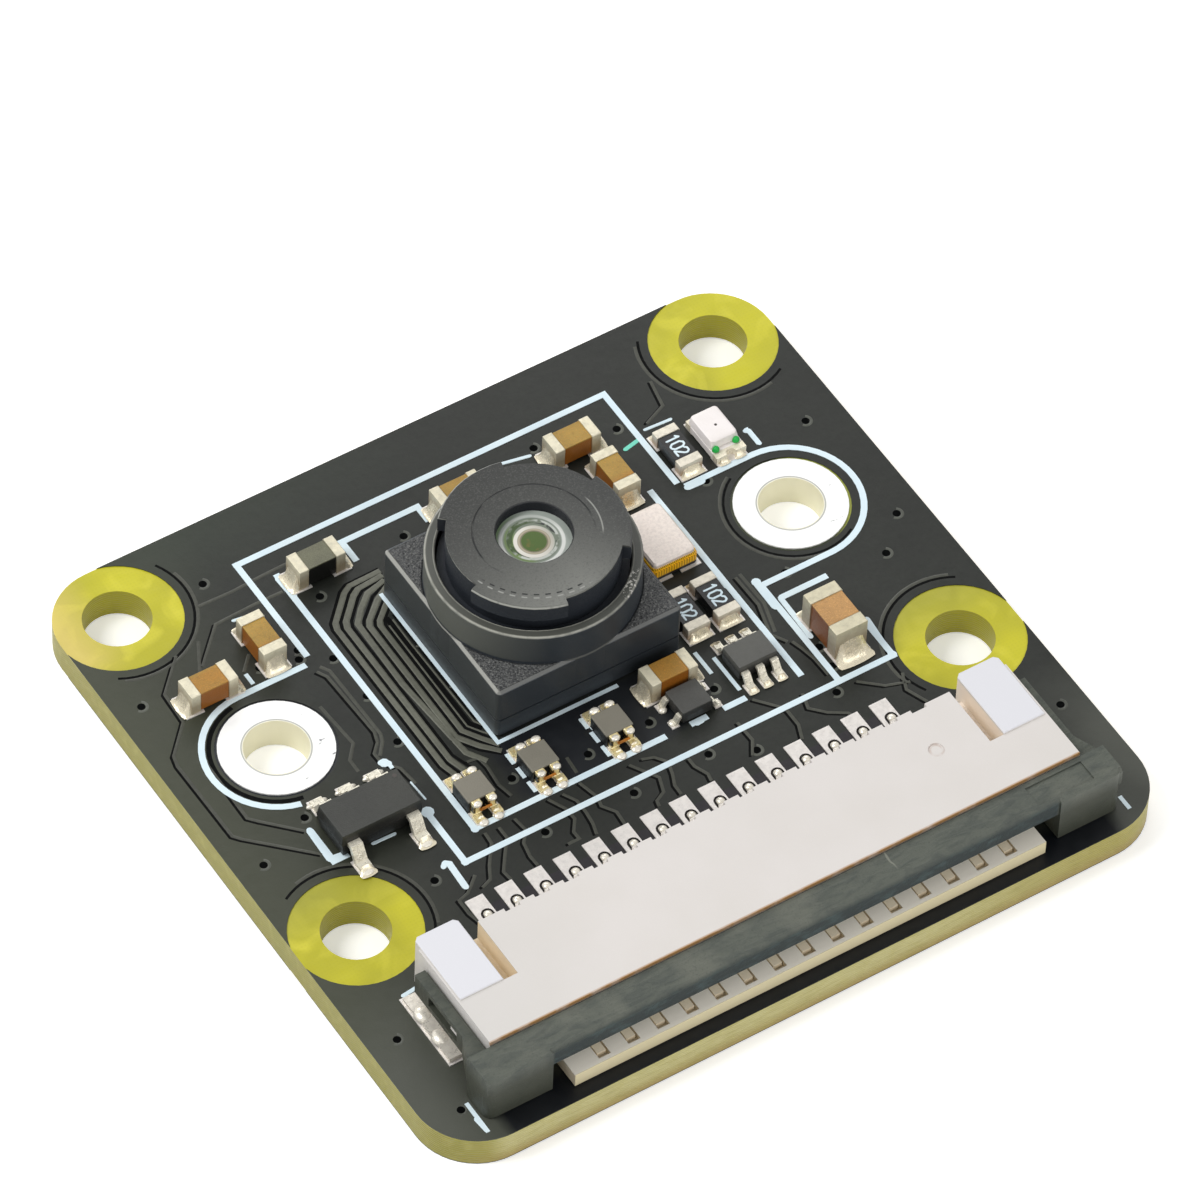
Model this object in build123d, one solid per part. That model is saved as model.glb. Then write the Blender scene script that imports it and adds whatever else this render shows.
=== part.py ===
from build123d import *
from math import cos, radians, sin, sqrt
import os

# Small camera board: a circuit board with a screw-focus lens and a flat-cable socket.
# Millimetres. The origin is the middle of the board's underside, +Y is the back edge
# and +Z is the way the lens looks.

# Board
board_width = 24.9
board_depth = 23.9
board_thickness = 1.1
board_corner_radius = 2.0
mask_thickness = 0.03

# Corner mounting holes, with a bare ring of board round each
corner_hole_radius = 1.05
corner_ring_radius = 2.0
corner_hole_inset = 1.95
corner_hole_pitch_y = 13.5

# Plated fixing holes on each side of the lens
plated_hole_radius = 0.99
plated_wall = 0.05
plated_ring_radius = 1.75
plated_ring_proud = 0.02
plated_hole_x = 9.0
plated_hole_y = 3.39
plated_mask_gap = 0.08

# White printed lines
print_thickness = 0.015
print_width = 0.2
print_arc_radius = 2.2

# Solder pads
pad_thickness = 0.04
pad_margin = 0.1

# Lens holder
lens_x = -0.09
lens_y = 3.57
holder_width = 6.4
holder_base_height = 2.05
holder_corner_radius = 0.15
holder_edge_chamfer = 0.12
holder_groove_height = 0.7
holder_groove_depth = 0.06
collar_radius = 3.24
collar_bore_radius = 2.9
collar_height = 3.22
collar_rim_chamfer = 0.05
glue_thickness = 0.05
glue_width = 0.4
ledge_bottom = 0.95
ledge_thickness = 0.2
ledge_opening = 3.9

# Filter and image sensor
filter_width = 4.6
filter_thickness = 0.3
sensor_length = 5.0
sensor_width = 4.6
sensor_die_thickness = 0.2
sensor_glass_thickness = 0.25
sensor_ball_height = 0.12
sensor_ball_radius = 0.13
sensor_ball_sides = 8
sensor_clearance = 0.2
sensor_ball_pitch = 0.8
sensor_ball_count = 5

# Lens barrel
barrel_fit = 0.05
barrel_bottom = 1.6
barrel_thread_top = 2.9
barrel_neck_radius = 2.6
flange_radius = 2.88
flange_recess_radius = 2.62
flange_bottom = 3.58
barrel_top = 4.17
flange_tab_count = 3
flange_tab_width = 60.0
flange_first_tab = 108.0
flange_chamfer = 0.06
window_radius = 1.14
window_chamfer = 0.04
front_seat_radius = 1.3
front_seat_top = 3.78
middle_seat_radius = 1.75
rear_seat_radius = 2.15
rear_seat_top = 2.3

# Lens elements
lens_fit = 0.02
front_element_thickness = 0.7
front_clear_radius = 1.08
front_upper_bulge = 0.06
front_lower_bulge = -0.1
stop_thickness = 0.06
stop_hole_radius = 0.5
middle_element_thickness = 0.5
middle_clear_radius = 1.2
middle_upper_bulge = -0.1
middle_lower_bulge = 0.08
spacer_hole_radius = 1.3
rear_element_thickness = 0.35
rear_clear_radius = 1.6
rear_upper_bulge = -0.08
rear_lower_bulge = 0.1
retainer_thickness = 0.2
retainer_hole_radius = 1.75

# Flat-cable socket
contact_count = 15
contact_pitch = 1.0
socket_half_width = 10.12
socket_height = 1.9
socket_front = -10.1
socket_back = -6.25
socket_end_back = -5.85
socket_roof = 0.45
socket_back_wall = 0.7
shelf_half_width = 8.1
shelf_front = -11.5
shelf_height = 0.55
shelf_rim = 0.16
end_block_inner = 8.6
end_block_outer_inset = 0.07
end_block_rise = 0.06
end_block_front = -8.4
end_block_chamfer = 0.12
back_notch_width = 0.5
back_notch_depth = 0.12
end_slot_width = 0.48
end_slot_depth = 0.8
contact_slot_width = 0.4
lug_length = 0.4
lug_height = 0.3
lug_front = -8.9
lug_reach = 0.3
ejector_mark_x = 6.6
ejector_mark_y = -7.85
ejector_mark_radius = 0.24
ejector_mark_depth = 0.03

# Cable clamp that slides in and out of the socket
slide_travel = 1.0
slide_gap = 0.05
slide_front = -11.2
slide_top = 1.8
slide_bottom = 0.05
bar_bottom = 0.95
mouth_chamfer = 0.18
bar_edge_chamfer = 0.12
tongue_top_gap = 0.05
tongue_back = -7.3
ear_inner = 8.7
ear_outer = 10.9
ear_front_proud = 0.06
ear_corner_radius = 0.3
ear_edge_chamfer = 0.06
arm_thickness = 0.34
arm_bottom = 0.7
arm_top = 1.5
arm_back = -6.7
arm_flare = 0.9
plate_recess_inner = 8.05
plate_recess_length = 1.95
plate_recess_depth = 0.05
plate_recess_edge = 0.16

# Socket contacts and anchors
contact_width = 0.3
contact_beam_bottom = 0.36
contact_beam_thickness = 0.16
contact_tip = -11.15
contact_bump_rise = 0.16
contact_bump_length = 0.5
contact_tail_back = -5.2
contact_pad_back = -4.29
contact_pad_front = -6.3
contact_pad_width = 0.6
anchor_inner = 9.7
anchor_outer = 10.72
anchor_front = -8.95
anchor_back = -6.4
anchor_thickness = 0.15
anchor_notch_radius = 0.16

# Two-ended chips: length, width and height, and how far each end cap wraps the body
small_chip = (1.6, 0.8, 0.8)
small_chip_cap = 0.32
large_chip = (1.8, 1.12, 1.15)
large_chip_cap = 0.42
resistor_chip = (1.6, 0.8, 0.45)
resistor_cap = 0.3
chip_cap_wall = 0.03

# Timing crystal
crystal_length = 2.2
crystal_width = 1.6
crystal_base_height = 0.36
crystal_ring_height = 0.1
crystal_lid_height = 0.18
crystal_lid_inset = 0.06

# Indicator lamp
lamp_length = 1.75
lamp_width = 1.05
lamp_base_height = 0.25
lamp_lens_length = 1.35
lamp_lens_height = 0.3
lamp_end_length = 0.24
lamp_lens_back = 0.05

# Moulded packages: share of the height at which the leads leave
package_parting = 0.58

# Line filters
line_filter_length = 1.25
line_filter_width = 0.94
line_filter_height = 0.5
line_filter_end_width = 0.3
line_filter_end_length = 0.18
line_filter_end_spacing = 0.5
line_filter_foot = 0.3

top = board_thickness
seat = top + pad_thickness
front_element_low = front_seat_top - lens_fit / 2 - front_element_thickness
middle_seat_top = front_element_low - stop_thickness
middle_element_low = middle_seat_top - middle_element_thickness
rear_element_high = rear_seat_top - lens_fit / 2
hole_x = board_width / 2 - corner_hole_inset
hole_back_y = board_depth / 2 - corner_hole_inset
hole_front_y = hole_back_y - corner_hole_pitch_y
corner_holes = [(x, y) for x in (-hole_x, hole_x) for y in (hole_front_y, hole_back_y)]
plated_holes = [(-plated_hole_x, plated_hole_y), (plated_hole_x, plated_hole_y)]

# Place of each chip: x, y and whether its ends lie along X or Y
small_chips = [(-7.47, 6.77, "Y"), (-9.72, 6.07, "X"), (4.43, 8.48, "X"), (4.87, 6.72, "Y"),
               (0.42, 8.47, "X"), (2.08, -0.52, "X")]
bead_chips = [(-4.56, 8.47, "X")]
large_chips = [(7.36, -1.43, "Y")]
resistor_chips = [(4.93, 1.32, "Y"), (3.87, 1.32, "Y"), (7.1, 6.75, "Y")]
crystal_place = (4.6, 4.03)
lamp_place = (8.43, 6.66)
line_filter_places = [(-5.03, -1.15), (-2.83, -1.15), (-0.27, -1.15)]


def block(x0, x1, y0, y1, z0, z1):
    size = Box(x1 - x0, y1 - y0, z1 - z0)
    return Pos((x0 + x1) / 2, (y0 + y1) / 2, (z0 + z1) / 2) * size


def disc(x, y, radius, z0, z1):
    return Pos(x, y, (z0 + z1) / 2) * Cylinder(radius, z1 - z0)


def turned(x, y, points):
    # A turned form from its half section, given as radius and height above the board.
    section = make_face(Plane.XZ * Polyline(*points, close=True))
    return Pos(x, y, top) * revolve(section, Axis.Z)


def both_sides(shape):
    return [shape, mirror(shape, about=Plane.YZ)]


def save(name, shapes):
    if not isinstance(shapes, (list, tuple)):
        shapes = [shapes]
    solids = [solid for shape in shapes for solid in shape.solids()]
    export_step(solids[0] if len(solids) == 1 else Compound(solids), f"parts/{name}.step")


def board_outline(z0, z1):
    outline = RectangleRounded(board_width, board_depth, board_corner_radius)
    return Pos(0, 0, z0) * extrude(outline, z1 - z0)


def board_core():
    core = board_outline(mask_thickness, top - mask_thickness)
    for x, y in corner_holes:
        core -= disc(x, y, corner_hole_radius, 0, top)
    for x, y in plated_holes:
        core -= disc(x, y, plated_hole_radius + plated_wall, 0, top)
    return core


def solder_mask(z0, z1):
    mask = board_outline(z0, z1)
    for x, y in corner_holes:
        mask -= disc(x, y, corner_ring_radius, z0, z1)
    for x, y in plated_holes:
        mask -= disc(x, y, plated_ring_radius + plated_mask_gap, z0, z1)
    return mask


def plated_sleeve(x, y):
    # A copper sleeve through the board with a tinned ring on each face.
    sleeve = disc(x, y, plated_hole_radius + plated_wall, 0, top + plated_ring_proud)
    sleeve += disc(x, y, plated_ring_radius, 0, mask_thickness)
    sleeve += disc(x, y, plated_ring_radius, top - mask_thickness, top + plated_ring_proud)
    return sleeve - disc(x, y, plated_hole_radius, 0, top + plated_ring_proud)


def stroke(x0, y0, x1, y1, width=print_width):
    # One printed line along X or Y, with square ends.
    half = width / 2
    low_x, high_x = sorted((x0, x1))
    low_y, high_y = sorted((y0, y1))
    return block(low_x - half, high_x + half, low_y - half, high_y + half, top, top + print_thickness)


def print_arc(x, y, start, sweep):
    ring = Circle(print_arc_radius + print_width / 2) - Circle(print_arc_radius - print_width / 2)
    reach = 2 * print_arc_radius
    steps = 8
    fan = [(0, 0)] + [(reach * cos(radians(start + sweep * i / steps)),
                       reach * sin(radians(start + sweep * i / steps))) for i in range(steps + 1)]
    return Pos(x, y, top) * extrude(ring & make_face(Polyline(*fan, close=True)), print_thickness)


def printed_lines():
    arc_top = plated_hole_y + print_arc_radius
    arc_bottom = plated_hole_y - print_arc_radius
    outer_box = [(-6.45, 9.9, 6.5, 9.9), (-6.45, 9.9, -6.45, 5.95), (6.5, 9.9, 6.5, 5.9),
                 (6.5, arc_bottom, 6.5, -3.05), (-6.5, -3.05, 8.4, -3.05), (-6.5, -3.05, -6.5, -1.05),
                 (8.4, -3.05, 8.4, -1.8), (6.85, 0.5, 8.3, 0.5)]
    arc_leads = [(-plated_hole_x, arc_top, -6.75, arc_top), (plated_hole_x, arc_top, 6.75, arc_top),
                 (plated_hole_x, arc_bottom, 6.5, arc_bottom)]
    camera_box = [(-5.62, 8.9, -5.62, -2.15), (-5.62, -2.15, 0.9, -2.15), (1.95, -2.15, 2.35, -2.15),
                  (3.1, -2.15, 3.7, -2.15), (5.65, 5.9, 5.65, -2.2), (-3.3, 9.05, -0.65, 9.05),
                  (-0.65, 9.05, -0.65, 8.5), (-3.3, 9.05, -3.3, 8.3)]
    regulator_corner = [(-9.75, 0.15, -9.75, -1.0), (-9.75, -1.05, -9.35, -1.05)]
    shapes = [stroke(*line) for line in outer_box + arc_leads + camera_box + regulator_corner]
    holder_left = lens_x - holder_width / 2 - 0.06
    holder_front = lens_y - holder_width / 2 - 0.17
    thin = print_width * 0.65
    shapes += [stroke(holder_left, 6.7, holder_left, holder_front, thin),
               stroke(holder_left, holder_front, 0.75, holder_front, thin)]
    marks = [(3.42, 0.0, 3.42, -0.8), (3.8, -0.45, 3.8, -1.75), (-6.5, 1.2, -6.5, 1.05),
             (-8.35, 6.15, -8.35, 5.85),
             (9.45, 6.5, 9.45, 5.9), (-11.05, -10.45, -11.05, -11.5), (11.15, -10.95, 11.15, -11.35)]
    shapes += [stroke(*line, thin) for line in marks]
    for x in (-3.37, -0.81):
        shapes += [stroke(x, y, x, y - 0.3, thin) for y in (-0.35, -0.95, -1.55)]
    shapes += [print_arc(-plated_hole_x, plated_hole_y, 90, 168),
               print_arc(plated_hole_x, plated_hole_y, -90, 180)]
    whole = shapes[0]
    for shape in shapes[1:]:
        whole += shape
    return whole


def lens_holder():
    low = glue_thickness
    half = holder_width / 2
    base = extrude(RectangleRounded(holder_width, holder_width, holder_corner_radius),
                   holder_base_height - low)
    base = chamfer(base.faces().sort_by(Axis.Z)[-1].edges(), holder_edge_chamfer)
    base = Pos(lens_x, lens_y, top + low) * base
    groove_z = top + holder_groove_height
    groove = block(-half - 1, half + 1, -half - 1, half + 1, groove_z, groove_z + holder_groove_depth)
    inner = half - holder_groove_depth
    groove -= block(-inner, inner, -inner, inner, groove_z, groove_z + holder_groove_depth)
    base -= Pos(lens_x, lens_y, 0) * groove
    collar_foot = holder_groove_height + 4 * holder_groove_depth
    rim = collar_rim_chamfer
    collar = turned(lens_x, lens_y, [
        (0, collar_foot), (collar_radius, collar_foot), (collar_radius, collar_height - rim),
        (collar_radius - rim, collar_height), (0, collar_height)])
    holder = base + collar
    holder -= turned(lens_x, lens_y, [
        (0, ledge_bottom + ledge_thickness), (collar_bore_radius, ledge_bottom + ledge_thickness),
        (collar_bore_radius, collar_height - rim), (collar_bore_radius + rim, collar_height),
        (0, collar_height)])
    cavity = sensor_length / 2 + sensor_clearance
    holder -= Pos(lens_x, lens_y, 0) * block(-cavity, cavity, -cavity, cavity, top, top + ledge_bottom)
    window = ledge_opening / 2
    holder -= Pos(lens_x, lens_y, 0) * block(-window, window, -window, window, top, top + collar_height)
    return holder


def holder_glue():
    outer = holder_width / 2 - holder_edge_chamfer
    inner = outer - glue_width / 2
    ring = block(-outer, outer, -outer, outer, top, top + glue_thickness)
    ring -= block(-inner, inner, -inner, inner, top, top + glue_thickness)
    return Pos(lens_x, lens_y, 0) * ring


def infrared_filter():
    half = filter_width / 2
    high = top + ledge_bottom
    return Pos(lens_x, lens_y, 0) * block(-half, half, -half, half, high - filter_thickness, high)


def sensor_layer(z0, thickness):
    return Pos(lens_x, lens_y, 0) * block(-sensor_length / 2, sensor_length / 2, -sensor_width / 2,
                                          sensor_width / 2, top + z0, top + z0 + thickness)


def sensor_balls():
    reach = sensor_ball_pitch * (sensor_ball_count - 1) / 2
    places = [i * sensor_ball_pitch - reach for i in range(sensor_ball_count)]
    ball = extrude(RegularPolygon(sensor_ball_radius, sensor_ball_sides), sensor_ball_height)
    return [Pos(lens_x + x, lens_y + y, top) * ball for x in places for y in places]


def sector(radius, start, width, z0, z1):
    # A slice of a disc, wide enough to cut one recess out of the flange.
    steps = 6
    points = [(0, 0)] + [(radius * cos(radians(start + width * i / steps)),
                          radius * sin(radians(start + width * i / steps))) for i in range(steps + 1)]
    return Pos(lens_x, lens_y, top + z0) * extrude(make_face(Polyline(*points, close=True)), z1 - z0)


def lens_barrel():
    thread_radius = collar_bore_radius - barrel_fit
    edge = flange_chamfer
    outside = [(rear_seat_radius, barrel_bottom), (thread_radius, barrel_bottom),
               (thread_radius, barrel_thread_top),
               (barrel_neck_radius, barrel_thread_top), (barrel_neck_radius, flange_bottom),
               (flange_radius, flange_bottom), (flange_radius, barrel_top - edge),
               (flange_radius - edge, barrel_top)]
    inside = [(window_radius + window_chamfer, barrel_top), (window_radius, barrel_top - window_chamfer),
              (window_radius, front_seat_top), (front_seat_radius, front_seat_top),
              (front_seat_radius, middle_seat_top), (middle_seat_radius, middle_seat_top),
              (middle_seat_radius, rear_seat_top), (rear_seat_radius, rear_seat_top)]
    barrel = turned(lens_x, lens_y, outside + inside)
    recess_width = 360 / flange_tab_count - flange_tab_width
    for i in range(flange_tab_count):
        start = flange_first_tab + flange_tab_width / 2 + i * 360 / flange_tab_count
        cut = sector(2 * flange_radius, start, recess_width, flange_bottom, barrel_top)
        barrel -= cut - disc(lens_x, lens_y, flange_recess_radius, top + flange_bottom, top + barrel_top)
    return barrel


def dome(radius, bulge, z):
    # Three points of a spherical face, from the axis to its edge at height z.
    sphere = (radius ** 2 + bulge ** 2) / (2 * abs(bulge))
    drop = sphere - sqrt(sphere ** 2 - (radius / 2) ** 2)
    side = 1 if bulge > 0 else -1
    return (0, z + bulge), (radius / 2, z + bulge - side * drop), (radius, z)


def element(radius, low, high, clear_radius, upper_bulge, lower_bulge):
    # A lens with a flat rim outside its clear radius. A positive bulge swells outward.
    upper = dome(clear_radius, upper_bulge, high)
    lower = dome(clear_radius, -lower_bulge, low)
    rim = Polyline(upper[2], (radius, high), (radius, low), lower[2])
    outline = ThreePointArc(*upper) + rim + ThreePointArc(*lower) + Line(lower[0], upper[0])
    section = Plane.XZ * make_face(outline)
    return Pos(lens_x, lens_y, top) * revolve(section, Axis.Z)


def lens_ring(radius, hole_radius, low, high):
    # A flat ring on the lens axis, between two heights above the board.
    ring = disc(lens_x, lens_y, radius, top + low, top + high)
    return ring - disc(lens_x, lens_y, hole_radius, top + low, top + high)


def front_element():
    high = front_element_low + front_element_thickness
    return element(front_seat_radius - lens_fit, front_element_low, high, front_clear_radius,
                   front_upper_bulge, front_lower_bulge)


def light_stop():
    return lens_ring(front_seat_radius - lens_fit, stop_hole_radius, front_element_low - stop_thickness,
                     front_element_low)


def middle_element():
    return element(middle_seat_radius - lens_fit, middle_element_low, middle_seat_top, middle_clear_radius,
                   middle_upper_bulge, middle_lower_bulge)


def lens_spacer():
    return lens_ring(middle_seat_radius - lens_fit, spacer_hole_radius, rear_element_high, middle_element_low)


def rear_element():
    low = rear_element_high - rear_element_thickness
    return element(rear_seat_radius - lens_fit, low, rear_element_high, rear_clear_radius,
                   rear_upper_bulge, rear_lower_bulge)


def retainer():
    high = rear_element_high - rear_element_thickness - lens_fit / 2
    return lens_ring(rear_seat_radius, retainer_hole_radius, high - retainer_thickness, high)


def contact_places():
    reach = contact_pitch * (contact_count - 1) / 2
    return [i * contact_pitch - reach for i in range(contact_count)]


def side_lug(gap, travel, reach):
    # The lug on the socket's side that stops the clamp, or the window round it in the clamp's arm.
    middle = top + (arm_bottom + arm_top) / 2
    back = lug_front + lug_length + travel + gap
    half = lug_height / 2 + gap
    outer = socket_half_width + reach
    return block(socket_half_width, outer, lug_front - gap, back, middle - half, middle + half)


def socket_housing():
    low = top + pad_thickness
    high = top + socket_height
    inner = end_block_inner - end_slot_width
    body = block(-socket_half_width, socket_half_width, socket_front, socket_back, low, high)
    block_outer = socket_half_width - end_block_outer_inset
    end_top = high + end_block_rise
    end_block = block(end_block_inner, block_outer, end_block_front, socket_end_back, low, end_top)
    end_block = chamfer(end_block.edges().filter_by(Axis.Z).group_by(Axis.Y)[-1], end_block_chamfer)
    end_block = chamfer(end_block.faces().sort_by(Axis.Z)[-1].edges(), end_block_rise / 2)
    for shape in both_sides(end_block):
        body += shape
    for slot in both_sides(block(inner, end_block_inner, end_block_front, socket_end_back,
                                 high - end_slot_depth, high + end_block_rise)):
        body -= slot
    body += block(-shelf_half_width, shelf_half_width, shelf_front, socket_front, low, top + shelf_height)
    cavity_half = inner - slide_gap
    body -= block(-cavity_half, cavity_half, socket_front, socket_back - socket_back_wall,
                  top + shelf_height, high - socket_roof)
    for x in contact_places():
        half = contact_slot_width / 2
        body -= block(x - half, x + half, shelf_front + shelf_rim, socket_back - socket_back_wall,
                      top + contact_beam_bottom - slide_gap, top + shelf_height)
        body -= socket_contact(x)
        notch = back_notch_width / 2
        body -= block(x - notch, x + notch, socket_back - back_notch_depth, socket_back, low, high)
    for pocket in both_sides(block(anchor_inner, socket_half_width, anchor_front, anchor_back,
                                   low, seat + anchor_thickness)):
        body -= pocket
    for lug in both_sides(side_lug(0, 0, lug_reach)):
        body += lug
    body -= disc(ejector_mark_x, ejector_mark_y, ejector_mark_radius, high - ejector_mark_depth, high)
    return body


def clamp_slider():
    front = slide_front
    rear = socket_front - slide_gap
    bar = block(-ear_outer, ear_outer, front, rear, top + bar_bottom, top + slide_top)
    front_edges = bar.edges().filter_by(Axis.X).group_by(Axis.Y)[0].sort_by(Axis.Z)
    bar = chamfer(front_edges[0], mouth_chamfer)
    upper_edge = bar.edges().filter_by(Axis.X).group_by(Axis.Z)[-1].sort_by(Axis.Y)[0]
    bar = chamfer(upper_edge, bar_edge_chamfer)
    tongue_half = end_block_inner - end_slot_width - 2 * slide_gap
    slider = bar + block(-tongue_half, tongue_half, rear, tongue_back, top + bar_bottom,
                         top + socket_height - socket_roof - tongue_top_gap)
    ear = block(ear_inner, ear_outer, front - ear_front_proud, rear, top + slide_bottom, top + slide_top)
    ear = fillet(ear.edges().filter_by(Axis.Z).group_by(Axis.X)[-1].sort_by(Axis.Y)[0], ear_corner_radius)
    ear = chamfer(ear.faces().sort_by(Axis.Z)[-1].edges(), ear_edge_chamfer)
    arm_inner = socket_half_width + slide_gap
    arm_outer = arm_inner + arm_thickness
    arm = block(arm_inner, arm_outer, rear, arm_back, top + arm_bottom, top + arm_top)
    flare = make_face(Polyline((arm_inner, rear), (ear_outer, rear), (arm_outer, rear + arm_flare),
                               (arm_inner, rear + arm_flare), close=True))
    arm += Pos(0, 0, top + arm_bottom) * extrude(flare, arm_top - arm_bottom)
    arm -= side_lug(slide_gap, slide_travel, slide_gap + arm_thickness)
    for shape in both_sides(ear) + both_sides(arm):
        slider += shape
    recess = block(plate_recess_inner, plate_recess_inner + plate_recess_length, front + plate_recess_edge,
                   rear - plate_recess_edge, top + slide_top - plate_recess_depth, top + slide_top)
    return slider - recess


def socket_contact(x):
    # One spring contact: a tail on its pad, a root in the back wall and a beam with a bump.
    low = contact_beam_bottom
    high = low + contact_beam_thickness
    foot = pad_thickness
    wall_back = socket_back - 0.12
    outline = [(contact_tail_back, foot), (contact_tail_back, foot + contact_beam_thickness),
               (wall_back + contact_beam_thickness, foot + contact_beam_thickness), (wall_back, high),
               (contact_tip + 2 * contact_bump_length, high),
               (contact_tip + 1.5 * contact_bump_length, high + contact_bump_rise),
               (contact_tip + contact_bump_length, high), (contact_tip, high), (contact_tip, low),
               (wall_back - contact_beam_thickness, low), (wall_back, foot)]
    section = make_face(Plane.YZ * Polyline(*outline, close=True))
    return Pos(x, 0, top) * extrude(section, contact_width / 2, both=True)


def anchor_tab():
    plate = block(anchor_inner, anchor_outer, anchor_front, anchor_back, seat, seat + anchor_thickness)
    length = anchor_back - anchor_front
    for share in (0.35, 0.7):
        plate -= disc(anchor_outer, anchor_back - share * length, anchor_notch_radius,
                      seat, seat + anchor_thickness)
    return plate


def laid(shape, x, y, way):
    # Sets a chip made along X at its place, turned to lie along Y where it should.
    return Pos(x, y, seat) * (Rot(0, 0, 90) * shape if way == "Y" else shape)


def chip_body(size):
    length, width, height = (value - 2 * chip_cap_wall for value in size)
    return block(-length / 2, length / 2, -width / 2, width / 2, chip_cap_wall, chip_cap_wall + height)


def chip_caps(size, wrap):
    length, width, height = size
    cap = block(length / 2 - wrap, length / 2, -width / 2, width / 2, 0, height) - chip_body(size)
    return both_sides(cap)


def chip_group(places, size):
    return [laid(chip_body(size), *place) for place in places]


def cap_group(places, size, wrap):
    return [laid(cap, *place) for place in places for cap in chip_caps(size, wrap)]


def chip_pads(places, size, wrap):
    length, width, _ = size
    pad = block(length / 2 - wrap - pad_margin, length / 2 + 2 * pad_margin, -width / 2 - pad_margin / 2,
                width / 2 + pad_margin / 2, -pad_thickness, 0)
    return [laid(shape, *place) for place in places for shape in both_sides(pad)]


def crystal_layer(z0, height, inset):
    x, y = crystal_place
    layer = RectangleRounded(crystal_width - 2 * inset, crystal_length - 2 * inset, 0.15)
    return Pos(x, y, seat + z0) * extrude(layer, height)


def crystal_lid():
    low = crystal_base_height + crystal_ring_height
    lid = crystal_layer(low, crystal_lid_height, crystal_lid_inset)
    return chamfer(lid.faces().sort_by(Axis.Z)[-1].edges(), crystal_lid_inset)


def lamp_base():
    x, y = lamp_place
    half = lamp_length / 2 - lamp_end_length
    return Pos(x, y, seat) * block(-lamp_width / 2, lamp_width / 2, -half, half, 0, lamp_base_height)


def lamp_lens():
    x, y = lamp_place
    foot = Rectangle(lamp_width, lamp_lens_length)
    lens = extrude(foot, lamp_lens_height, taper=12)
    shift = (lamp_length - lamp_lens_length) / 2 - lamp_lens_back
    return Pos(x, y + shift, seat + lamp_base_height) * lens


def lamp_ends():
    x, y = lamp_place
    end = block(-lamp_width / 2, lamp_width / 2, lamp_length / 2 - lamp_end_length, lamp_length / 2,
                0, lamp_base_height)
    end -= disc(0, lamp_length / 2, lamp_end_length * 0.7, 0, lamp_base_height)
    return [Pos(x, y, seat) * end, Pos(x, y, seat) * mirror(end, about=Plane.XZ)]


def lead(width, shoulder, reach, body_height, thickness):
    # One bent lead, pointing along -Y from the face of the package at y = 0.
    mid = body_height * package_parting
    half = thickness / 2
    knee = shoulder
    heel = shoulder + (reach - shoulder) * 0.4
    outline = [(0, mid + half), (-knee, mid + half), (-heel - half, thickness), (-reach, thickness),
               (-reach, 0), (-heel + half / 2, 0), (-knee + half, mid - half), (0, mid - half)]
    section = make_face(Plane.YZ * Polyline(*outline, close=True))
    return extrude(section, width / 2, both=True)


def package(width, depth, height, draft):
    # A moulded package with sides that lean in above and below its parting line.
    low = height * package_parting
    upper = extrude(Rectangle(width, depth), height - low, taper=draft)
    lower = mirror(extrude(Rectangle(width, depth), low, taper=draft), about=Plane.XY)
    return Pos(0, 0, low) * (upper + lower)


def leads_on(xs, depth, way, width, shoulder, reach, height, thickness):
    pin = lead(width, shoulder, reach, height, thickness)
    pin = Pos(0, -depth / 2, 0) * pin
    if way > 0:
        pin = mirror(pin, about=Plane.XZ)
    return [Pos(x, 0, 0) * pin for x in xs]


def pads_on(xs, depth, way, width, reach):
    near = depth / 2 + reach * 0.35
    far = depth / 2 + reach + pad_margin
    low, high = sorted((way * near, way * far))
    half = (width + pad_margin) / 2
    return [block(x - half, x + half, low, high, -pad_thickness, 0) for x in xs]


# Packages with bent leads: place, body, lead positions on the front and the back edge
regulator = {"place": (-8.12, -0.37), "turn": 0, "body": (2.75, 1.45, 0.9), "draft": 7, "front": (-1.0, 1.0),
             "back": (-0.97, 0.0, 0.97), "lead": (0.4, 0.2, 0.72), "thickness": 0.14}
switch_chip = {"place": (4.61, -1.06), "turn": 0, "body": (1.38, 0.98, 0.58), "draft": 7,
               "front": (-0.5, 0.0, 0.5), "back": (-0.5, 0.0, 0.5), "lead": (0.24, 0.12, 0.5),
               "thickness": 0.1}
sense_chip = {"place": (2.17, -1.54), "turn": 90, "body": (1.0, 1.08, 0.46), "draft": 5,
              "front": (-0.36, 0.36), "back": (-0.36, 0.36), "lead": (0.2, 0.08, 0.24), "thickness": 0.1}


def package_place(spec):
    x, y = spec["place"]
    return Pos(x, y, seat) * Rot(0, 0, spec["turn"])


def package_body(spec):
    return package_place(spec) * package(*spec["body"], spec["draft"])


def package_leads(spec, maker):
    width, shoulder, reach = spec["lead"]
    _, depth, height = spec["body"]
    shapes = []
    for xs, way in ((spec["front"], -1), (spec["back"], 1)):
        if maker == "leads":
            shapes += leads_on(xs, depth, way, width, shoulder, reach, height, spec["thickness"])
        else:
            shapes += pads_on(xs, depth, way, width, reach)
    return [package_place(spec) * shape for shape in shapes]


def line_filter_body(x, y):
    half = line_filter_length / 2 - line_filter_end_length
    return Pos(x, y, seat) * block(-line_filter_width / 2, line_filter_width / 2, -half, half,
                                   0, line_filter_height)


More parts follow.
